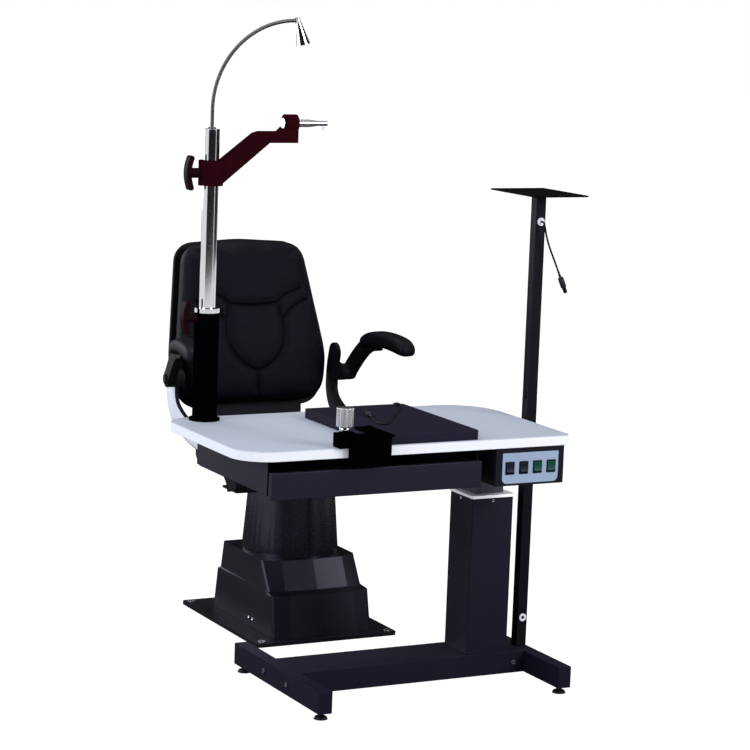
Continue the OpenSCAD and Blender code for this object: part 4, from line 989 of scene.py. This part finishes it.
# %% Bracket trim
band_route = [(48, 10), (52, -30), (50, -60), (33, -91), (-2, -114), (-48, -131), (-109, -144), (-184, -154),
              (-266, -165), (-336, -184)]
band_middle = evened(smooth([Vector(p) * mm for p in band_route], 6), 8 * mm)
trim_half = 27 * mm
trim_outline = beside(band_middle, -trim_half) + beside(band_middle, trim_half)[::-1]
band_face = 255 * mm


def trim(name, side):
    """A thin strip on the outer face of the band."""
    strip = board_of(name, trim_outline, 0, 0.8 * mm, 0.3 * mm)
    for vertex in strip.data.vertices:
        y, z, x = vertex.co
        vertex.co = (side * (band_face + x), hub.y + y, hub.z + z)
    if side < 0:
        strip.data.flip_normals()
    return strip


for node, side in (("arm_bracket_right", -1), ("arm_bracket_left", 1)):
    fit(trim(node + "_trim", side), body=body_of[node], slot="white_plastic")
print("trim strips:", round(length_of(band_middle), 3), "m long")

# %% [markdown]
# ## Lamp hose, clamp knob and table top
#
# The lamp hangs on a hose of wound steel strip, which shows as a row of narrow coils. The clamp's knob is
# fluted so that it can be turned by hand. The table top is a board with four different corner radii and a
# thick edge band, slightly rounded by hand along both edges.

# %% Lamp hose
hose_r = 5 * mm
bend_r = 222 * mm
hose_foot = Vector((-497, -512, 1410)) * mm
bend_start = 1455 * mm
hose_spans = 60
hose = [hose_foot, Vector((hose_foot.x, hose_foot.y, bend_start))]
for k in range(1, hose_spans + 1):
    a = math.pi / 2 * k / hose_spans
    across = bend_r * (1 - math.cos(a))
    hose.append(Vector((hose_foot.x + across, hose_foot.y, bend_start + bend_r * math.sin(a))))
coil_pitch = 2.4 * mm
coils = string_of("hose_coils", [hose], coil_pitch, (hose_r, hose_r, 1.7 * mm), "neck_steel")
fit(coils, "lamp_neck")
fit(curve_of("hose_core", [hose], 4.2 * mm), body=body_of["lamp_neck"], slot="neck_steel")
cap_profile = [Vector(p) * mm for p in ((0, 0), (9.6, 0), (10, 0.5), (10, 3.6), (8.5, 4.8), (0, 4.8))]
fit(turned("hose_cap", cap_profile, Vector((-497, -512, 1407.3)) * mm, sides=48), body=body_of["lamp_neck"],
    slot="neck_steel")
print("hose:", round(length_of(hose), 3), "m, coils every", coil_pitch / mm, "mm")

# %% Clamp knob
knob_place = Vector((-325, -952)) * mm
knob_radius = 21 * mm
flutes = 16
flute_depth = 1.6 * mm
knob_points = flutes * 12
knob_outline = []
for k in range(knob_points):
    a = 2 * math.pi * k / knob_points
    cut = max(0, math.cos(flutes * a)) ** 2
    reach = knob_radius - flute_depth * cut
    knob_outline.append(knob_place + Vector((reach * math.cos(a), reach * math.sin(a))))
knob_head = board_of("knob_head", knob_outline, 730.6 * mm, 776.6 * mm, 1.6 * mm)
fit(knob_head, "clamp_knob", finish="satin_knob")
neck_profile = [(0, 0), (13 * mm, 0), (13 * mm, 15 * mm), (11.5 * mm, 16 * mm), (0, 16 * mm)]
knob_foot = knob_place.to_3d() + Vector((0, 0, 714.6 * mm))
fit(turned("knob_neck", neck_profile, knob_foot), body=body_of["clamp_knob"], slot=slot_of["clamp_knob"])
print("knob with", flutes, "flutes")

# %% Table top
top_corners = rectangle((-590 * mm, -960 * mm), (310 * mm, -470 * mm))
top_outline = rounded(top_corners, [90 * mm, 25 * mm, 130 * mm, 60 * mm], steps=24)
fit(board_of("laminate_top", top_outline, 655 * mm, 680 * mm, 2.2 * mm, steps=4), "table_top")
print("table top:", len(top_outline), "points around")

# %% [markdown]
# ## Bolts
#
# The rails are bolted to the beam by socket screws, the covers and the column's casing by small ones. One
# head with its hexagonal recess is drawn once, and the tree sets it on every place with its own axis and
# size.

# %% Bolt heads
def socket_head():
    """A screw head of 1 m radius with a hexagonal recess, to be scaled down."""
    sides = 24
    ways = [2 * math.pi * k / sides for k in range(sides)]
    rings = [[(r * math.cos(a), r * math.sin(a), z) for a in ways]
             for r, z in ((0.9, 0), (1, 0.06), (1, 0.42), (0.86, 0.6))]
    for scale, z in ((0.52, 0.6), (0.48, 0.2)):
        ring = []
        for a in ways:
            r = scale / math.cos((a + math.pi / 6) % (math.pi / 3) - math.pi / 6)
            ring.append((r * math.cos(a), r * math.sin(a), z))
        rings.append(ring)
    return lofted("socket_head", rings)


def bolts_on(name, spots, finish):
    """Heads at spots, each a place in mm, an axis and a radius in mm."""
    mesh = bpy.data.meshes.new(name)
    mesh.from_pydata([tuple(Vector(place) * mm) for place, _, _ in spots], [], [])
    source = object_of(name, mesh)
    axes = mesh.attributes.new("axis", "FLOAT_VECTOR", "POINT")
    axes.data.foreach_set("vector", [value for _, axis, _ in spots for value in axis])
    sizes = mesh.attributes.new("size", "FLOAT", "POINT")
    sizes.data.foreach_set("value", [radius * mm for _, _, radius in spots])
    return grown(name, source, heads, {"Head": head_shape, "Material": finishes[finish]})


head_shape = socket_head()
rail_spots = [((x, y, 45.5), (math.copysign(1, x), 0, 0), 6.5) for x in (-360, 355) for y in (-753, -619)]
rail_spots.append(((287, -761, 45.5), (0, -1, 0), 6.5))
fit(bolts_on("rail_bolts", rail_spots, slot_of["frame_bolts"]), "frame_bolts")
cover_spots = [((side * 149.3, y, 34), (side, 0, 0), 4) for side in (-1, 1) for y in (-90, -66)]
cover_spots += [((215, -745, 475), (0, -1, 0), 4), ((155, -686, 475), (-1, 0, 0), 4)]
fit(bolts_on("cover_and_column_screws", cover_spots, slot_of["cover_screws"]), "cover_screws")
joint_spots = [((337 + side * 14, -700, 746), (side, 0, 0), 3.6) for side in (-1, 1)]
joint_screws = bolts_on("projector_post_screws", joint_spots, "black_powder_steel")
fit(joint_screws, body=body_of["pole_upper"], slot="black_powder_steel")
bpy.data.objects.remove(head_shape)
print(len(rail_spots), "rail bolts and", len(cover_spots), "cover screws")

# %% [markdown]
# ## The steelwork and the casings
#
# These solids have the right shape in the model. Real sheet metal is folded over a radius of a millimetre
# or two and moulded casings have a draft and a soft edge, so an eased copy of each stands for it. Each
# gets the radius that its making leaves.

# %% Eased solids
nodes_by_radius = {
    0.3: "drawer_box switch_panel lamp_lens",
    0.4: "base_washers pole_splice",
    0.5: "drawer_housing lamp_head",
    0.6: "mast_tube",
    0.7: "column_casing",
    0.8: "column_inner tray instrument_pin rocker_1 rocker_2 rocker_3 rocker_4",
    0.9: "edge_clamp",
    1: "chair_lift_outer chair_lift_inner chair_cone seat_pan back_bracket post post_collar column_cap "
       "pole_grommets levelling_feet",
    1.2: "base_plate control_box slide_board pole_lower pole_upper",
    1.4: "drawer_front",
    1.8: "rail_left rail_right cross_beam",
    2: "chair_actuator base_cover_front base_cover_rear arm_knob mast_knob",
    2.5: "arm_bracket_right arm_bracket_left",
    3: "instrument_arm",
    3.5: "arm_link_right arm_link_left",
    4: "back_shell",
}
own_finish = {
    "instrument_arm": "arm_enamel", "chair_cone": "cone_gloss", "pole_splice": "black_powder_steel",
    "column_cap": "cap_white", "instrument_pin": "pin_steel",
}
for radius, names in nodes_by_radius.items():
    for node in names.split():
        fit(eased(node, radius * mm), node, finish=own_finish.get(node))
print("eased with", len(nodes_by_radius), "radii")

# %% [markdown]
# ## The studio
#
# The photograph is a product shot on pure white. The floor and the sky show white to the camera and to
# reflections, while the object itself is lit by four soft boxes at a plain level. Dark cards that only
# reflections see stand around the object and lie on the floor near it. They put the dark bands into the
# chrome and keep the black paint black.

# %% Studio
def white_to_view(sheet):
    """1 for camera, glossy and transmission rays."""
    rays = sheet.node("ShaderNodeLightPath")
    seen = rays["Is Camera Ray"] + rays["Is Glossy Ray"]
    return sheet.node("ShaderNodeClamp", values={"Value": seen + rays["Is Transmission Ray"]})["Result"]


world = bpy.data.worlds.new("studio")
world.use_nodes = True
scene.world = world
sky = NodeSheet(world.node_tree)
ambient = 0.55
seen = white_to_view(sky)
values = {"Color": (1, 1, 1), "Strength": ambient + (1 - ambient) * seen}
sky.close("ShaderNodeOutputWorld", "Surface", sky.node("ShaderNodeBackground", values=values)["Background"])

floor_size = 30
floor_corners = rectangle((-floor_size, -floor_size), (floor_size, floor_size))
floor_mesh = bpy.data.meshes.new("floor")
floor_mesh.from_pydata([(x, y, 0) for x, y in floor_corners], [], [[0, 1, 2, 3]])
floor = object_of("floor", floor_mesh)
floor_paint = bpy.data.materials.new("floor_paint")
floor_paint.use_nodes = True
paper = NodeSheet(floor_paint.node_tree)
matt = paper.node("ShaderNodeBsdfDiffuse", values={"Color": (0.8, 0.8, 0.8)})["BSDF"]
glow_strength = 1.14
glow_share = 0.9
glow = paper.node("ShaderNodeEmission", values={"Color": (1, 1, 1), "Strength": glow_strength})["Emission"]
mixed = paper.node("ShaderNodeMixShader", values={0: glow_share * white_to_view(paper), 1: matt, 2: glow})
paper.close("ShaderNodeOutputMaterial", "Surface", mixed["Shader"])
floor_mesh.materials.append(floor_paint)


def soft_box(name, place, aim, size, power, colour=(1, 1, 1)):
    """A square lamp that the camera doesn't see."""
    lamp = bpy.data.lights.new(name, "AREA")
    lamp.size = size
    lamp.energy = power
    lamp.color = colour
    lamp_object = object_of(name, lamp)
    lamp_object.location = place
    lamp_object.rotation_euler = (Vector(aim) - Vector(place)).to_track_quat("-Z", "Y").to_euler()
    lamp_object.visible_camera = False


aim = (-0.1, -0.3, 0.75)
soft_box("key", (-4.2, -1.6, 2.6), aim, 2.4, 135, (0.86, 0.91, 1))
soft_box("fill", (2.2, -4.2, 2.6), aim, 2.2, 165)
soft_box("top", (-0.2, 0.8, 4.6), aim, 2.6, 70)
soft_box("rear", (-2.2, 4.2, 1.9), aim, 2.4, 85, (0.84, 0.9, 1))


def only_reflected(card):
    """Hides a card from all but reflections."""
    card.data.materials.append(card_paint)
    for rays in ("camera", "diffuse", "transmission", "shadow"):
        setattr(card, "visible_" + rays, False)


def dark_card(name, azimuth, half_width, height):
    """A curved black card that stands around the object."""
    spans = 8
    points = []
    for k in range(spans + 1):
        a = math.radians(azimuth - half_width + 2 * half_width * k / spans)
        for z in (-0.5, height):
            points.append((card_distance * math.sin(a), -card_distance * math.cos(a), z))
    faces = [[2 * k, 2 * k + 2, 2 * k + 3, 2 * k + 1] for k in range(spans)]
    only_reflected(piece_from(name, points, faces))


card_paint = bpy.data.materials.new("card_paint")
card_paint.use_nodes = True
card_sheet = NodeSheet(card_paint.node_tree)
card_glow = card_sheet.node("ShaderNodeEmission", values={"Color": (1, 1, 1), "Strength": 0.02})["Emission"]
card_sheet.close("ShaderNodeOutputMaterial", "Surface", card_glow)
card_distance = 9
dark_card("front_card", -14, 50, 6)
dark_card("back_card", 158, 35, 12)
dark_card("right_card", 78, 34, 6)
floor_points = [(x, y, 0.3 * mm) for x, y in rectangle((-4, -4), (4, 4))]
only_reflected(piece_from("floor_card", floor_points, [[0, 1, 2, 3]]))

scene.view_settings.view_transform = "Standard"
